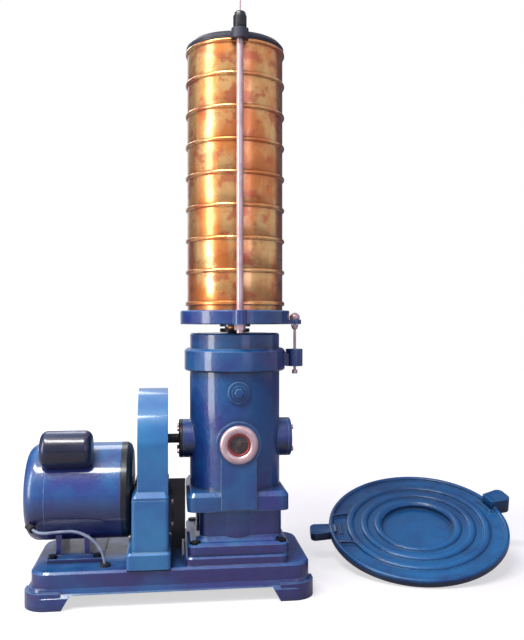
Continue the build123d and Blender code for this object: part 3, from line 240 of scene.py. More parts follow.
def enamel(
    name, colour, shade, dust, roughness, grain, grain_scale,
    corner=None, chips=0.68, varnish=0.85, low_shade=0.0,
):
    """Brushed-on enamel in two shades, dusty on top and chipped, with painted shade on faces that turn
    down, on low upright faces and in corners and seams, and lighter edges that are partly worn and partly
    painted highlight.

    The grain is a depth in metres, and corner is the colour of the lighter edges, partly worn paint and
    partly painted highlight. Lower chips make more chips.
    """
    material, tree, shader, place = fresh_material(name, roughness)
    direction = put(tree, "ShaderNodeNewGeometry").outputs["Normal"]
    rise = upward(tree, direction)
    rounded = softened(tree, ENAMEL_CORNER, samples=6)
    settled = times(tree, between(tree, rise, 0.55, 1.0), patchy(tree, place, 22.0, 0.3, 0.7))
    chipped = patchy(tree, place, 48.0, chips, chips + CHIP_EDGE, detail=8.0, rough=0.72)
    base = two_shades(tree, place, colour, shade)
    base = tinted(tree, base, dust, settled, 0.3)
    # Painted shade on faces that turn downwards
    base = tinted(tree, base, PAINTED_SHADE, between(tree, rise, 0.1, -0.38), 0.8)
    # Painted shade on upright faces low down, in patches
    base = tinted(tree, base, PAINTED_LOW_SHADE, low_shade_mask(tree, place, rise), low_shade)
    # Lighter edges: partly worn paint, partly painted highlight
    base = tinted(tree, base, corner or dust, wear_and_highlight_edges(tree, place, direction, rounded), 0.7)
    # Painted shade in corners and seams, by ambient occlusion
    base = tinted(tree, base, PAINTED_SHADE, crevice_shade(tree, 0.014, 0.35, 0.95), 0.75)
    base = blended(tree, chipped, base, UNDERCOAT)
    feed(tree, shader.inputs["Base Color"], base)
    brushed = patchy(tree, place, 30.0, 0.2, 0.85, detail=4.0)
    dull = reckon(tree, "MULTIPLY_ADD", brushed, 0.22, roughness - 0.08)
    feed(tree, shader.inputs["Roughness"], reckon(tree, "ADD", dull, times(tree, settled, 0.25)))
    lacquered(shader, varnish)
    skin = reckon(tree, "ADD", noise(tree, place, grain_scale, 5.0, 0.6), times(tree, chipped, -0.6))
    relief(tree, shader, skin, grain, rounded)
    return material


# The other finishes: their fixed colours, pattern scales, and depths and heights in metres
BRASS = srgb(255, 206, 132)
BRASS_DEEP = srgb(236, 142, 70)
PAINTED_REFLECTION_RED = srgb(206, 100, 66)
BRASS_STREAK = srgb(190, 108, 52)
BRASS_SPOT = srgb(126, 62, 34)
TARNISH_AND_SHADE = srgb(104, 52, 26)
WIRE_LOW = srgb(84, 60, 30)
WIRE_HIGH = srgb(214, 172, 104)
SHEET_GAP = srgb(58, 58, 62)
SHEET_EDGE = srgb(142, 142, 148)
OIL = srgb(44, 30, 22)
AIR_GAP = srgb(74, 66, 58)
OIL_SMEAR = srgb(126, 108, 92)
SEAL_RED = srgb(176, 62, 58)
SEAL_SHADE = srgb(120, 36, 38)
TOOL_LINE_DEPTH = 0.00006
WIRE_SCALE = 220.0
SHEET_SCALE = 320.0
OIL_LEVEL = 0.3155
OIL_EDGE = 0.002


def turned_metal(name, colour, shade, roughness, lines=900.0, metallic=1.0):
    """Bright metal with fine tool lines round it and a few darker, stained places."""
    material, tree, shader, place = fresh_material(name, roughness, metallic)
    rings = drawn_out(tree, place, 40.0, lines, detail=3.0)
    stain = patchy(tree, place, 35.0, 0.42, 0.75, rough=0.65)
    base = blended(tree, stain, colour, shade)
    feed(tree, shader.inputs["Base Color"], tinted(tree, base, shade, rings, 0.35))
    roughened(tree, shader, stain, roughness, 0.22)
    relief(tree, shader, rings, TOOL_LINE_DEPTH, softened(tree, 0.0006))
    return material


def brass_sheet(name):
    """Lacquered brass: streaks round the wall, reddish patches of painted reflection, brown spots in
    patches, and brown tarnish with painted shade under the beads.
    """
    material, tree, shader, place = fresh_material(name, 0.3, 0.82)
    hoops = drawn_out(tree, place, 3.0, 140.0, detail=4.0)
    cloud = drawn_out(tree, place, 16.0, 9.0, detail=6.0)
    painted_reflection = between(tree, drawn_out(tree, place, 19.0, 24.0, detail=5.0), 0.52, 0.6)
    spots = patchy(tree, place, 30.0, 0.59, 0.67, detail=8.0, rough=0.7)
    dents = drawn_out(tree, place, 12.0, 20.0, detail=2.0, rough=0.4)
    base = blended(tree, between(tree, cloud, 0.42, 0.58), BRASS, BRASS_DEEP)
    # Reddish patches of painted reflection
    base = tinted(tree, base, PAINTED_REFLECTION_RED, painted_reflection, 0.75)
    base = tinted(tree, base, BRASS_STREAK, hoops, 0.3)
    base = tinted(tree, base, BRASS_SPOT, spots, 0.5)
    # Brown tarnish, with painted shade, in seams and under the beads
    base = tinted(tree, base, TARNISH_AND_SHADE, crevice_shade(tree, 0.016, 0.3, 0.9), 0.75)
    feed(tree, shader.inputs["Base Color"], base)
    roughened(tree, shader, between(tree, cloud, 0.3, 0.7), 0.2, 0.16)
    lacquered(shader, 0.8)
    uneven = reckon(tree, "ADD", dents, times(tree, hoops, 0.08))
    relief(tree, shader, uneven, 0.0014, softened(tree, 0.0004))
    return material


def woven_wire(name):
    """Fine woven wire cloth, one wire over the next."""
    material, tree, shader, place = fresh_material(name, 0.4, 0.9)
    along = put(tree, "ShaderNodeTexWave", Vector=place, Scale=WIRE_SCALE)
    across = put(tree, "ShaderNodeTexWave", {"bands_direction": "Y"}, Vector=place, Scale=WIRE_SCALE)
    cloth = times(tree, along.outputs["Fac"], across.outputs["Fac"])
    feed(tree, shader.inputs["Base Color"], blended(tree, cloth, WIRE_LOW, WIRE_HIGH))
    relief(tree, shader, cloth, 0.0003, softened(tree, 0.0002))
    return material


def iron(name, colour, shade, roughness, scale=160.0, depth=0.0006, metallic=0.6):
    """Cast or blackened iron, sandy or oiled."""
    material, tree, shader, place = fresh_material(name, roughness, metallic)
    sand = noise(tree, place, scale, 6.0, 0.7)
    oiled = patchy(tree, place, 24.0, 0.35, 0.7, detail=5.0)
    base = blended(tree, oiled, colour, shade)
    feed(tree, shader.inputs["Base Color"], tinted(tree, base, shade, sand, 0.4))
    roughened(tree, shader, oiled, roughness - 0.06, 0.18)
    relief(tree, shader, sand, depth, softened(tree, 0.001))
    return material


def laminations(name):
    """Stacked steel sheets, seen on edge along the motor's axis."""
    material, tree, shader, place = fresh_material(name, 0.45, 0.8)
    wave = put(tree, "ShaderNodeTexWave", Vector=place, Scale=SHEET_SCALE, Distortion=0.4)
    sheets = wave.outputs["Fac"]
    feed(tree, shader.inputs["Base Color"], blended(tree, sheets, SHEET_GAP, SHEET_EDGE))
    relief(tree, shader, sheets, 0.0003, softened(tree, 0.0005))
    return material


def rubber(name, colour, shade, roughness):
    """Dull rubber or cable jacket with a bloom in patches and a fine grain."""
    material, tree, shader, place = fresh_material(name, roughness)
    bloom = patchy(tree, place, 60.0, 0.35, 0.75, rough=0.65)
    feed(tree, shader.inputs["Base Color"], blended(tree, bloom, colour, shade))
    roughened(tree, shader, bloom, roughness - 0.05, 0.2)
    relief(tree, shader, noise(tree, place, 420.0, 3.0), 0.0002, softened(tree, 0.0006))
    return material


def oil_glass(name):
    """The gauge's window: dark oil behind dull glass, with a lighter gap above it."""
    material, tree, shader, place = fresh_material(name, 0.12)
    air = between(tree, upward(tree, place), OIL_LEVEL, OIL_LEVEL + OIL_EDGE)
    smear = patchy(tree, place, 90.0, 0.45, 0.75, detail=5.0)
    base = blended(tree, air, OIL, AIR_GAP)
    feed(tree, shader.inputs["Base Color"], tinted(tree, base, OIL_SMEAR, smear, 0.4))
    lacquered(shader, 1.0, 0.05)
    relief(tree, shader, smear, 0.0001, softened(tree, 0.0003))
    return material


FINISH = {
    "blue_paint": enamel(
        "machine_enamel", srgb(18, 94, 150), srgb(30, 50, 128), srgb(70, 136, 190),
        roughness=0.34, grain=0.0012, grain_scale=130.0, corner=srgb(120, 178, 214), low_shade=0.82,
    ),
    "disc_blue": enamel(
        "tray_enamel", srgb(0, 94, 152), srgb(0, 62, 118), srgb(14, 110, 168),
        roughness=0.34, grain=0.0012, grain_scale=110.0, corner=srgb(110, 180, 214), varnish=0.2,
    ),
    "guard_blue": enamel(
        "guard_enamel", srgb(42, 126, 180), srgb(32, 104, 166), srgb(160, 168, 200),
        roughness=0.36, grain=0.0004, grain_scale=60.0, corner=srgb(140, 186, 216), chips=0.7,
    ),
    "black_paint": enamel(
        "black_enamel", srgb(20, 21, 30), srgb(10, 11, 17), srgb(52, 56, 66),
        roughness=0.34, grain=0.0005, grain_scale=90.0, chips=0.7, varnish=0.3,
    ),
    "plastic_dark": enamel(
        "capacitor_shell", srgb(20, 38, 92), srgb(12, 16, 46), srgb(58, 92, 156),
        roughness=0.3, grain=0.0003, grain_scale=140.0, chips=0.75, varnish=0.5,
    ),
    "brass": brass_sheet("sieve_brass"),
    "mesh_bronze": woven_wire("wire_cloth"),
    "clear_steel": turned_metal(
        "bright_steel", srgb(226, 198, 198), srgb(176, 146, 150), roughness=0.32, metallic=0.62
    ),
    "gear_steel": turned_metal(
        "cut_steel", srgb(160, 160, 166), srgb(104, 104, 112), roughness=0.34, lines=500.0
    ),
    "aluminium": turned_metal(
        "cast_aluminium", srgb(196, 198, 204), srgb(150, 152, 160), roughness=0.42, lines=120.0
    ),
    "bronze_bush": turned_metal(
        "bearing_bronze", srgb(178, 122, 66), srgb(132, 84, 44), roughness=0.34
    ),
    "dark_steel": iron(
        "blackened_steel", srgb(38, 38, 46), srgb(20, 20, 26), roughness=0.34, scale=220.0, depth=0.0003
    ),
    "lid_grey": iron(
        "lid_paint", srgb(66, 70, 82), srgb(40, 42, 54),
        roughness=0.4, scale=90.0, depth=0.0005, metallic=0.2,
    ),
    "cast_iron": iron("grey_iron", srgb(104, 104, 108), srgb(70, 70, 74), roughness=0.5),
    "lamination": laminations("core_sheets"),
    "rubber_black": rubber("black_rubber", srgb(26, 26, 30), srgb(44, 44, 50), roughness=0.6),
    "cable_grey": rubber("cable_jacket", srgb(138, 150, 168), srgb(98, 110, 130), roughness=0.45),
    "sight_glass": oil_glass("gauge_window"),
}


def finished(piece, material):
    """Gives a piece one material in place of those that it has."""
    piece.data.materials.clear()
    piece.data.materials.append(material)


for row in frame["record"]["subparts"]:
    finished(frame["nodes"][row["node"]], FINISH[row["material_slot"]])


def kept(piece, name, body, slot, node=None):
    """Names a piece, seats it on its body and gives it its finish."""
    piece.name = name
    piece.data.name = name
    finished(piece, FINISH[slot])
    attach(piece, body)
    if node:
        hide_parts(node)
    return piece


# Motor lead, from the motor's gland to the bed's, along the same points as its tube
LEAD_POINTS = [
    (-418.6, -59.7, 146.5), (-407, -76, 141.5), (-388, -84, 139.5), (-360, -82, 142), (-322, -78, 141),
    (-289, -84, 123), (-268.4, -87, 92), (-268, -87, 62),
]
LEAD_R = 3.0 * MM


def lead_curve():
    """The lead's smooth line through the air, with its round section."""
    curve = bpy.data.curves.new("motor_lead_cord", "CURVE")
    curve.dimensions = "3D"
    curve.bevel_depth = LEAD_R
    curve.bevel_resolution = 5
    curve.resolution_u = 16
    curve.use_fill_caps = True
    spline = curve.splines.new("NURBS")
    spline.points.add(len(LEAD_POINTS) - 1)
    for point, place in zip(spline.points, LEAD_POINTS):
        point.co = (*from_spindle(*place), 1)
    spline.order_u = 3
    spline.use_endpoint_u = True
    cord = bpy.data.objects.new("motor_lead_cord", curve)
    bpy.context.scene.collection.objects.link(cord)
    return cord


motor_lead = kept(lead_curve(), "motor_lead_cord", "frame", "cable_grey", "motor_lead")

# Turned pieces: points this near to each other are merged, and edges up to so many degrees shade smooth
MERGE_WITHIN = 0.01 * MM
TURNED_CREASE = 38


def turned(profile, centre, steps=96, facing=None):
    """A ring drawn up from each (radius, height) of the profile to the next, and closed on itself.

    The axis is vertical, or with facing="front" it points to -Y and heights are counted along it.
    """
    deselect()
    radius, height = profile[0]
    bpy.ops.mesh.primitive_circle_add(vertices=steps, radius=radius, location=(0, 0, height))
    piece = bpy.context.object
    bpy.ops.object.mode_set(mode="EDIT")
    bpy.ops.mesh.select_all(action="SELECT")
    for next_radius, next_height in profile[1:] + profile[:1]:
        bpy.ops.mesh.extrude_region_move(TRANSFORM_OT_translate={"value": (0, 0, next_height - height)})
        grow = next_radius / radius
        bpy.ops.transform.resize(value=(grow, grow, 1), center_override=(0, 0, next_height))
        radius, height = next_radius, next_height
    bpy.ops.mesh.select_all(action="SELECT")
    bpy.ops.mesh.remove_doubles(threshold=MERGE_WITHIN)
    bpy.ops.mesh.normals_make_consistent(inside=False)
    bpy.ops.object.mode_set(mode="OBJECT")
    place_into_mesh()
    if facing == "front":
        piece.rotation_euler = (radians(90), 0, 0)
    piece.location = centre
    place_into_mesh()
    bpy.ops.object.shade_smooth_by_angle(angle=radians(TURNED_CREASE))
    return piece


# Sieve stack: rolled beads, a straight wall, and a drawn-in skirt that enters the sieve below
stack_low, stack_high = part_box("sieve_1")
STACK_AXIS = ((stack_low.x + stack_high.x) / 2, (stack_low.y + stack_high.y) / 2, 0)
WALL_R = 101.8 * MM
WALL = 1.2 * MM
WALL_INNER_R = WALL_R - WALL
WALL_TOP_DROP = 14 * MM
BEAD_R = 106.0 * MM
BEAD_H = 9.0 * MM
SHOULDER_IN = 0.5 * MM
SHOULDER_H = 1.2 * MM
SHOULDER_DROP = 0.4 * MM
SKIRT_R = 99.8 * MM
SKIRT_INNER_R = SKIRT_R - 1.4 * MM
SKIRT_DEPTH = 12 * MM
SKIRT_LIP = 2 * MM
SEAT_RISE = 3 * MM


def bead(top, steps=7):
    """The rolled edge under a sieve's top, from its lower side round to the inner wall."""
    half = BEAD_H / 2
    points = []
    for step in range(steps + 1):
        angle = -pi / 2 + pi * step / steps
        points.append((WALL_R + (BEAD_R - WALL_R) * max(cos(angle), 0.0), top - half + half * sin(angle)))
    return points + [(WALL_INNER_R, top)]


def sieve_profile(low, top):
    """One frame's section: down inside the skirt, out at the shoulder, up the wall and over the bead."""
    skirt = [
        (SKIRT_INNER_R, low + SKIRT_LIP), (SKIRT_INNER_R, low - SKIRT_DEPTH),
        (SKIRT_R, low - SKIRT_DEPTH), (SKIRT_R, low - SHOULDER_DROP),
    ]
    wall = [(WALL_R - SHOULDER_IN, low), (WALL_R, low + SHOULDER_H), (WALL_R, top - WALL_TOP_DROP)]
    return skirt + wall + bead(top) + [(WALL_INNER_R, low + SEAT_RISE)]


for number in range(1, SIEVES + 1):
    node = "sieve_%d" % number
    lowest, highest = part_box(node)
    piece = turned(sieve_profile(lowest.z + SKIRT_DEPTH, highest.z), STACK_AXIS)
    kept(piece, "sieve_%d_frame" % number, "tray_unit", "brass", node)

# Knurled hand nuts on the clamp rods
NUT_RIDGES = 30
KNURL_DEPTH = 0.9 * MM
NUT_BORE_R = 7.05 * MM
NUT_NECK_IN = 1.5 * MM
NUT_FOOT_IN = 3 * MM
NUT_FOOT_H = 0.8 * MM
NUT_TOP_IN = 3.5 * MM
NUT_TOP_H = 3 * MM
GRIP_LOW = 4.5 * MM
GRIP_MIDDLE = 14 * MM
GRIP_TOP_DROP = 8 * MM
GRIP_SLOPE = 1.5 * MM
GRIP_EDGE = 0.5 * MM


def hand_nut(node):
    """The nut's turned body, with every other strip of its grip pressed in."""
    lowest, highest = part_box(node)
    centre = ((lowest.x + highest.x) / 2, (lowest.y + highest.y) / 2, 0)
    outer = (highest.x - lowest.x) / 2
    neck = outer - NUT_NECK_IN
    low, top = lowest.z, highest.z
    foot = [
        (NUT_BORE_R, low), (outer - NUT_FOOT_IN, low),
        (neck, low + NUT_FOOT_H), (neck, low + GRIP_LOW - GRIP_SLOPE),
    ]
    grip = [(outer, low + GRIP_LOW), (outer, low + GRIP_MIDDLE), (outer, top - GRIP_TOP_DROP)]
    crown = [
        (neck, top - GRIP_TOP_DROP + GRIP_SLOPE), (neck, top - NUT_TOP_H),
        (outer - NUT_TOP_IN, top), (NUT_BORE_R, top),
    ]
    nut = turned(foot + grip + crown, centre, steps=2 * NUT_RIDGES)
    for vertex in nut.data.vertices:
        reach = Vector((vertex.co.x - centre[0], vertex.co.y - centre[1], 0))
        level_with_grip = low + GRIP_LOW - GRIP_EDGE < vertex.co.z < top - GRIP_TOP_DROP + GRIP_EDGE
        if level_with_grip and reach.length > outer - GRIP_EDGE:
            strip = round(NUT_RIDGES * reach.angle(Vector((1, 0, 0))) / pi)
            if strip % 2:
                vertex.co -= reach.normalized() * KNURL_DEPTH
    return nut


for side, body in (("front", "front_nut_unit"), ("rear", "rear_nut_unit")):
    node = "%s_hand_nut" % side
    kept(hand_nut(node), "%s_knurled_nut" % side, body, "black_paint", node)

# Oil gauge: a rounded ring with a red seal inside it
gauge_low, gauge_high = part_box("sight_bezel")
GAUGE_R = (gauge_high.x - gauge_low.x) / 2
GAUGE_DEEP = gauge_high.y - gauge_low.y
GAUGE_AT = ((gauge_low.x + gauge_high.x) / 2, gauge_high.y, (gauge_low.z + gauge_high.z) / 2)
GAUGE_STEPS = 72
WINDOW_R = 20 * MM
RING_INNER_R = WINDOW_R + 2.2 * MM
RING_FOOT = 1.5 * MM
CROWN_STEPS = 10
SEAL_INNER_R = WINDOW_R - 0.8 * MM
SEAL_R = WINDOW_R + 2.6 * MM
SEAL_DEEP = 0.62 * GAUGE_DEEP
SEAL_INNER_EDGE = 1 * MM
SEAL_OUTER_EDGE = 0.6 * MM


def gauge_ring():
    """A ring with a straight foot and a round crown, from its outer side to its inner one."""
    middle = (GAUGE_R + RING_INNER_R) / 2
    half = (GAUGE_R - RING_INNER_R) / 2
    crown = []
    for step in range(CROWN_STEPS + 1):
        angle = pi * step / CROWN_STEPS
        crown.append((middle + half * cos(angle), RING_FOOT + (GAUGE_DEEP - RING_FOOT) * sin(angle)))
    return turned([(GAUGE_R, 0)] + crown + [(RING_INNER_R, 0)], GAUGE_AT, GAUGE_STEPS, "front")


def gauge_seal():
    """A seal between the window and the ring, with its two front edges broken."""
    profile = [
        (SEAL_INNER_R, 0), (SEAL_INNER_R, SEAL_DEEP - SEAL_INNER_EDGE),
        (SEAL_INNER_R + SEAL_INNER_EDGE, SEAL_DEEP), (SEAL_R - SEAL_OUTER_EDGE, SEAL_DEEP), (SEAL_R, 0),
    ]
    return turned(profile, GAUGE_AT, GAUGE_STEPS, "front")


kept(gauge_ring(), "gauge_ring", "frame", "clear_steel", "sight_bezel")
seal = kept(gauge_seal(), "gauge_seal", "frame", "rubber_black")
finished(seal, rubber("red_seal", SEAL_RED, SEAL_SHADE, roughness=0.5))

# Loose tray beside the bed, leaning on its rim. X and Y are in millimetres from the spindle.
# Edges are shares of its radius, the outer one first, and each ring has its crest's height after them.
# The under edge is given as distances in from the rim, each with its height.
LOOSE_R = 207.5 * MM
LOOSE_TILT = 19.5
LOOSE_TURN = -16
LOOSE_X = 440
LOOSE_Y = 95
LOOSE_HUB_R = 22 * MM
LOOSE_BED = 14 * MM
LOOSE_FLOOR = 4 * MM
LOOSE_UNDER_EDGE = [(8 * MM, 0), (2.5 * MM, 1.5 * MM), (0, 6 * MM)]
LOOSE_RIM_EDGES = (1.0, 0.945)
LOOSE_RIM_FOOT = 15 * MM
LOOSE_RIM_CREST = 21 * MM
LOOSE_BAND_EDGES = (0.93, 0.83)
LOOSE_RINGS = [((0.805, 0.715), 20.5 * MM), ((0.645, 0.555), 20.5 * MM), ((0.49, 0.41), 20 * MM)]
LOOSE_WELL_EDGES = (0.40, 0.395)
LOOSE_STEPS = 144
LOOSE_AXIS_R = 0.5 * MM
LUG_ROOT = 16 * MM
LUG_NECK = 0.72
LUG_FALL = 1.5 * MM
LUG_ROUND = 0.62
LUG_RIM = 5 * MM
LUG_WELL = 2.5 * MM
LUG_EDGE = 1.4 * MM
RIB_WIDTH = 8 * MM
RIB_TOP_LENGTH = 0.86
RIB_TOP_WIDTH = 0.6
RIB_SUNK = 2 * MM
RIB_EDGE = 1.8 * MM
STUD_R = 6 * MM
STUD_EDGE = 1.5 * MM
STUD_STEPS = 48
HUB_GAP = 0.2 * MM
CAST_CREASE = 40


def ridge(edges, foot, crest, steps=8):
    """A rounded ring from its outer foot over its crest to its inner foot."""
    outer, inner = edges
    middle = (outer + inner) / 2 * LOOSE_R
    half = (outer - inner) / 2 * LOOSE_R
    angles = [pi * step / steps for step in range(steps + 1)]
    return [(middle + half * cos(angle), foot + (crest - foot) * sin(angle) ** 0.8) for angle in angles]


def closed_at_axis(piece):
    """Draws each small ring round the axis together into one point."""
    levels = sorted({round(v.co.z, 5) for v in piece.data.vertices if v.co.xy.length < 2 * LOOSE_AXIS_R})
    for level in levels:
        for vertex in piece.data.vertices:
            vertex.select = vertex.co.xy.length < 2 * LOOSE_AXIS_R and abs(vertex.co.z - level) < 0.1 * MM
        for edge in piece.data.edges:
            edge.select = False
        for face in piece.data.polygons:
            face.select = False
        bpy.ops.object.mode_set(mode="EDIT")
        bpy.ops.mesh.select_mode(type="VERT")
        bpy.ops.mesh.merge(type="CENTER")
        bpy.ops.mesh.select_all(action="SELECT")
        bpy.ops.mesh.delete_loose(use_verts=True, use_edges=True, use_faces=False)
        bpy.ops.object.mode_set(mode="OBJECT")


def loose_plate():
    """The plate with its raised rim, three rings and the sunk floor in the middle."""
    profile = [(LOOSE_AXIS_R, 0)]
    profile += [(LOOSE_R - inward, height) for inward, height in LOOSE_UNDER_EDGE]
    profile += ridge(LOOSE_RIM_EDGES, LOOSE_RIM_FOOT, LOOSE_RIM_CREST)
    profile += [(share * LOOSE_R, LOOSE_BED) for share in LOOSE_BAND_EDGES]
    for edges, crest in LOOSE_RINGS:
        profile += ridge(edges, LOOSE_BED, crest)
    # The innermost ring runs straight down to the edge of the well
    profile.pop()
    profile += [(share * LOOSE_R, z) for share, z in zip(LOOSE_WELL_EDGES, (LOOSE_BED, LOOSE_FLOOR))]
    profile += [(LOOSE_AXIS_R, LOOSE_FLOOR)]
    plate = turned(profile, (0, 0, 0), LOOSE_STEPS)
    closed_at_axis(plate)
    return plate


def eased(piece, width, segments=3):
    """Rounds the piece's sharp edges and shades it smooth."""
    rounding = piece.modifiers.new("rounding", "BEVEL")
    rounding.width = width
    rounding.segments = segments
    rounding.limit_method = "ANGLE"
    bpy.ops.object.modifier_apply(modifier="rounding")
    bpy.ops.object.shade_smooth_by_angle(angle=radians(CAST_CREASE))


def loose_lug(angle, reach, half_width, top):
    """A lug with a narrower neck, a rounded end and a shallow well in its top."""
    deselect()
    start = LOOSE_R - LUG_ROOT
    end = LOOSE_R + reach
    bpy.ops.mesh.primitive_cube_add(size=1, location=((start + end) / 2, 0, top / 2))
    lug = bpy.context.object
    lug.scale = (end - start, 2 * half_width, top)
    place_into_mesh()
    for vertex in lug.data.vertices:
        if vertex.co.x < start + MM:
            vertex.co.y *= LUG_NECK
        elif vertex.co.z > top - MM:
            vertex.co.z -= LUG_FALL
    bpy.ops.object.mode_set(mode="EDIT")
    bpy.ops.mesh.select_mode(type="EDGE")
    bpy.ops.mesh.select_all(action="DESELECT")
    bpy.ops.object.mode_set(mode="OBJECT")
    for edge in lug.data.edges:
        first, second = (lug.data.vertices[index].co for index in edge.vertices)
        edge.select = abs(first.z - second.z) > 0.5 * top and first.x > end - MM
    bpy.ops.object.mode_set(mode="EDIT")
    bpy.ops.mesh.bevel(offset=LUG_ROUND * half_width, segments=7, affect="EDGES")
    bpy.ops.mesh.select_mode(type="FACE")
    bpy.ops.mesh.select_all(action="DESELECT")
    bpy.ops.object.mode_set(mode="OBJECT")
    for face in lug.data.polygons:
        face.select = face.normal.z > 0.8
    bpy.ops.object.mode_set(mode="EDIT")
    bpy.ops.mesh.inset(thickness=LUG_RIM)
    bpy.ops.transform.translate(value=(0, 0, -LUG_WELL))
    bpy.ops.object.mode_set(mode="OBJECT")
    lug.rotation_euler = (0, 0, radians(angle))
    place_into_mesh()
    eased(lug, LUG_EDGE)
    return lug


def loose_rib(angle, share, turn, half_length, height):
    """A rounded rib on the plate, at a share of its radius and turned from the radial line."""
    deselect()
    bpy.ops.mesh.primitive_cube_add(size=1, location=(0, 0, 0))
    rib = bpy.context.object
    rib.scale = (2 * half_length, RIB_WIDTH, height)
    place_into_mesh()
    for vertex in rib.data.vertices:
        if vertex.co.z > 0:
            vertex.co.x *= RIB_TOP_LENGTH
            vertex.co.y *= RIB_TOP_WIDTH
    away = radians(angle)
    out = share * LOOSE_R
    rib.rotation_euler = (0, 0, away + radians(turn))
    rib.location = (out * cos(away), out * sin(away), LOOSE_BED + height / 2 - RIB_SUNK)
    place_into_mesh()
    eased(rib, RIB_EDGE, 4)
    return rib


def loose_stud(radius, low, top):
    """A round stud on the tray's axis with its top edge broken."""
    profile = [
        (LOOSE_AXIS_R, low), (radius, low),
        (radius, top - STUD_EDGE), (radius - STUD_EDGE, top), (LOOSE_AXIS_R, top),
    ]
    stud = turned(profile, (0, 0, 0), STUD_STEPS)
    closed_at_axis(stud)
    return stud


def loose_tray():
    """The plate with its lugs, ribs, middle stud and the hub that props it up, joined and tilted."""
    hub_drop = (LOOSE_R - LOOSE_HUB_R) * tan(radians(LOOSE_TILT))
    parts = [
        loose_plate(),
        loose_lug(190, reach=45 * MM, half_width=21 * MM, top=22 * MM),
        loose_lug(28, reach=37 * MM, half_width=26 * MM, top=38 * MM),
        loose_rib(172, 0.87, turn=24, half_length=27 * MM, height=9 * MM),
        loose_rib(207, 0.87, turn=-24, half_length=27 * MM, height=9 * MM),
        loose_rib(190, 0.87, turn=90, half_length=24 * MM, height=8 * MM),
        loose_rib(28, 0.88, turn=90, half_length=30 * MM, height=8 * MM),
        loose_stud(STUD_R, LOOSE_FLOOR - MM, LOOSE_FLOOR + 1.5 * MM),
        loose_stud(LOOSE_HUB_R, -hub_drop + HUB_GAP, 2 * MM),
    ]
    deselect()
    for part in parts:
        part.select_set(True)
    bpy.context.view_layer.objects.active = parts[0]
    bpy.ops.object.join()
    tray = bpy.context.object
    turn = Matrix.Rotation(radians(LOOSE_TURN), 3, "Z")
    tilt = Matrix.Rotation(radians(LOOSE_TILT), 3, "X")
    tray.rotation_euler = (turn @ tilt).to_euler()
    tray.location = from_spindle(LOOSE_X, LOOSE_Y, 0)
    tray.location.z = LOOSE_R * sin(radians(LOOSE_TILT))
    place_into_mesh()
    return tray


kept(loose_tray(), "loose_tray", "frame", "disc_blue", "spare_tray")

# Floor, light and background, in metres. The floor's glow grows with the distance from the object
FLOOR_SIZE = 12.0
FLOOR_GREY = (0.42, 0.42, 0.43, 1)
GLOW_NEAR = 0.62
GLOW_GAIN = 0.4
GLOW_FROM = 0.7
GLOW_TO = 2.2
WHITE = (1.0, 1.0, 1.0, 1)
SKY_ON_OBJECT = (0.105, 0.075, 0.21, 1)
SKY_IN_GLOSS = (0.6, 0.6, 0.66, 1)
FLAG_DARK = (0.02, 0.022, 0.035, 1)
FLAG_GLOW = (0.5, 0.56, 0.9, 1)
FLAG_LOW = 0.1
FLAG_TOP = 2.4


def floor_material():
    """A matt grey floor that the camera sees as white, apart from the object's shadow on it."""
    material, tree, shader, place = fresh_material("studio_floor", 0.9)
    shader.inputs["Base Color"].default_value = FLOOR_GREY
    shader.inputs["Specular IOR Level"].default_value = 0.1
    shader.inputs["Emission Color"].default_value = WHITE
    away = put(tree, "ShaderNodeVectorMath", {"operation": "LENGTH"})
    tree.links.new(place, away.inputs[0])
    far = between(tree, away.outputs["Value"], GLOW_FROM, GLOW_TO)
    glow = reckon(tree, "MULTIPLY_ADD", far, GLOW_GAIN, GLOW_NEAR)
    seen = put(tree, "ShaderNodeLightPath").outputs["Is Camera Ray"]
    feed(tree, shader.inputs["Emission Strength"], times(tree, seen, glow))
    return material


def flag_material():
    """Dark cloth with a faint blue glow, for the cards that bright metal reflects."""
    material, _, shader, _ = fresh_material("flag_cloth", 1.0)
    shader.inputs["Base Color"].default_value = FLAG_DARK
    shader.inputs["Emission Color"].default_value = FLAG_GLOW
    shader.inputs["Emission Strength"].default_value = 0.14
    return material


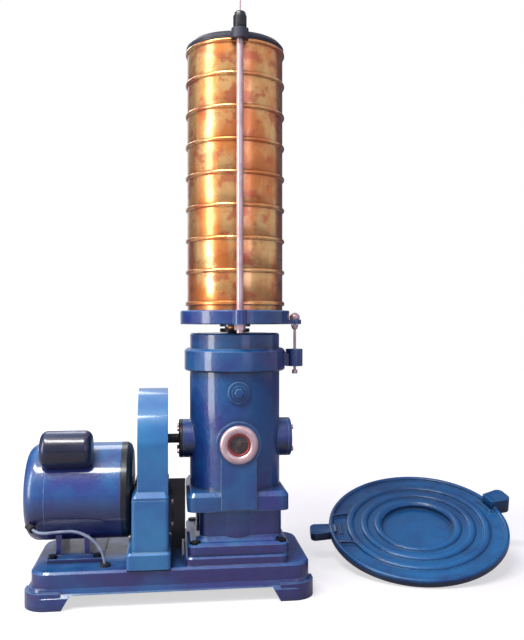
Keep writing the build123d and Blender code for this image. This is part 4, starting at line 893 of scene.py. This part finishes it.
def studio_world():
    """White to the camera and through glass, pale in reflections, and a dim violet light on the rest."""
    world = bpy.data.worlds.new("studio")
    world.use_nodes = True
    tree = world.node_tree
    ray = put(tree, "ShaderNodeLightPath").outputs
    through = reckon(tree, "MAXIMUM", ray["Is Camera Ray"], ray["Is Transmission Ray"])
    seen = blended(tree, ray["Is Glossy Ray"], SKY_ON_OBJECT, SKY_IN_GLOSS)
    background = tree.nodes["Background"]
    background.inputs["Strength"].default_value = 1.0
    feed(tree, background.inputs["Color"], blended(tree, through, seen, WHITE))
    return world


def lamp(name, place, aim, size, energy, colour=(1, 1, 1)):
    """A soft lamp of the given width and height, turned to its aim."""
    data = bpy.data.lights.new(name, "AREA")
    data.shape = "RECTANGLE"
    data.size, data.size_y = size
    data.energy = energy
    data.color = colour
    light = bpy.data.objects.new(name, data)
    light.location = place
    light.rotation_euler = (Vector(aim) - Vector(place)).to_track_quat("-Z", "Y").to_euler()
    bpy.context.scene.collection.objects.link(light)


def flag(name, left, right, material):
    """An upright card over the line from left to right, which only reflections see."""
    deselect()
    bpy.ops.mesh.primitive_plane_add(size=1)
    card = bpy.context.object
    card.name = name
    corners = [(*left, FLAG_LOW), (*right, FLAG_LOW), (*left, FLAG_TOP), (*right, FLAG_TOP)]
    for vertex, corner in zip(card.data.vertices, corners):
        vertex.co = corner
    card.data.materials.append(material)
    card.visible_camera = False
    card.visible_diffuse = False
    card.visible_shadow = False
    card.visible_transmission = False


deselect()
bpy.ops.mesh.primitive_plane_add(size=FLOOR_SIZE, location=(0, 0, 0))
floor = bpy.context.object
floor.name = "floor"
floor.data.materials.append(floor_material())

bpy.context.scene.world = studio_world()

flag_cloth = flag_material()
flag("right_flag", (2.2, 0.6), (2.2, 2.6), flag_cloth)
flag("back_flag", (0.35, 2.7), (2.2, 2.6), flag_cloth)
flag("left_flag", (-2.8, 0.9), (-1.4, 2.6), flag_cloth)

lamp("key", (-1.0, -1.3, 3.0), aim=(0.1, 0, 0.4), size=(2.0, 0.6), energy=108, colour=(1.0, 0.98, 0.94))
lamp("strip", (-2.0, -0.95, 1.0), aim=(0.13, 0, 0.75), size=(0.7, 1.9), energy=34, colour=(1.0, 0.97, 0.93))
lamp("fill", (1.2, -2.6, 1.1), aim=(0.1, 0, 0.5), size=(1.0, 1.6), energy=7, colour=(0.72, 0.62, 1.0))
lamp("rim", (-0.7, 2.4, 2.9), aim=(0.1, 0, 0.6), size=(1.2, 1.2), energy=22)

bpy.context.scene.view_settings.view_transform = "Standard"
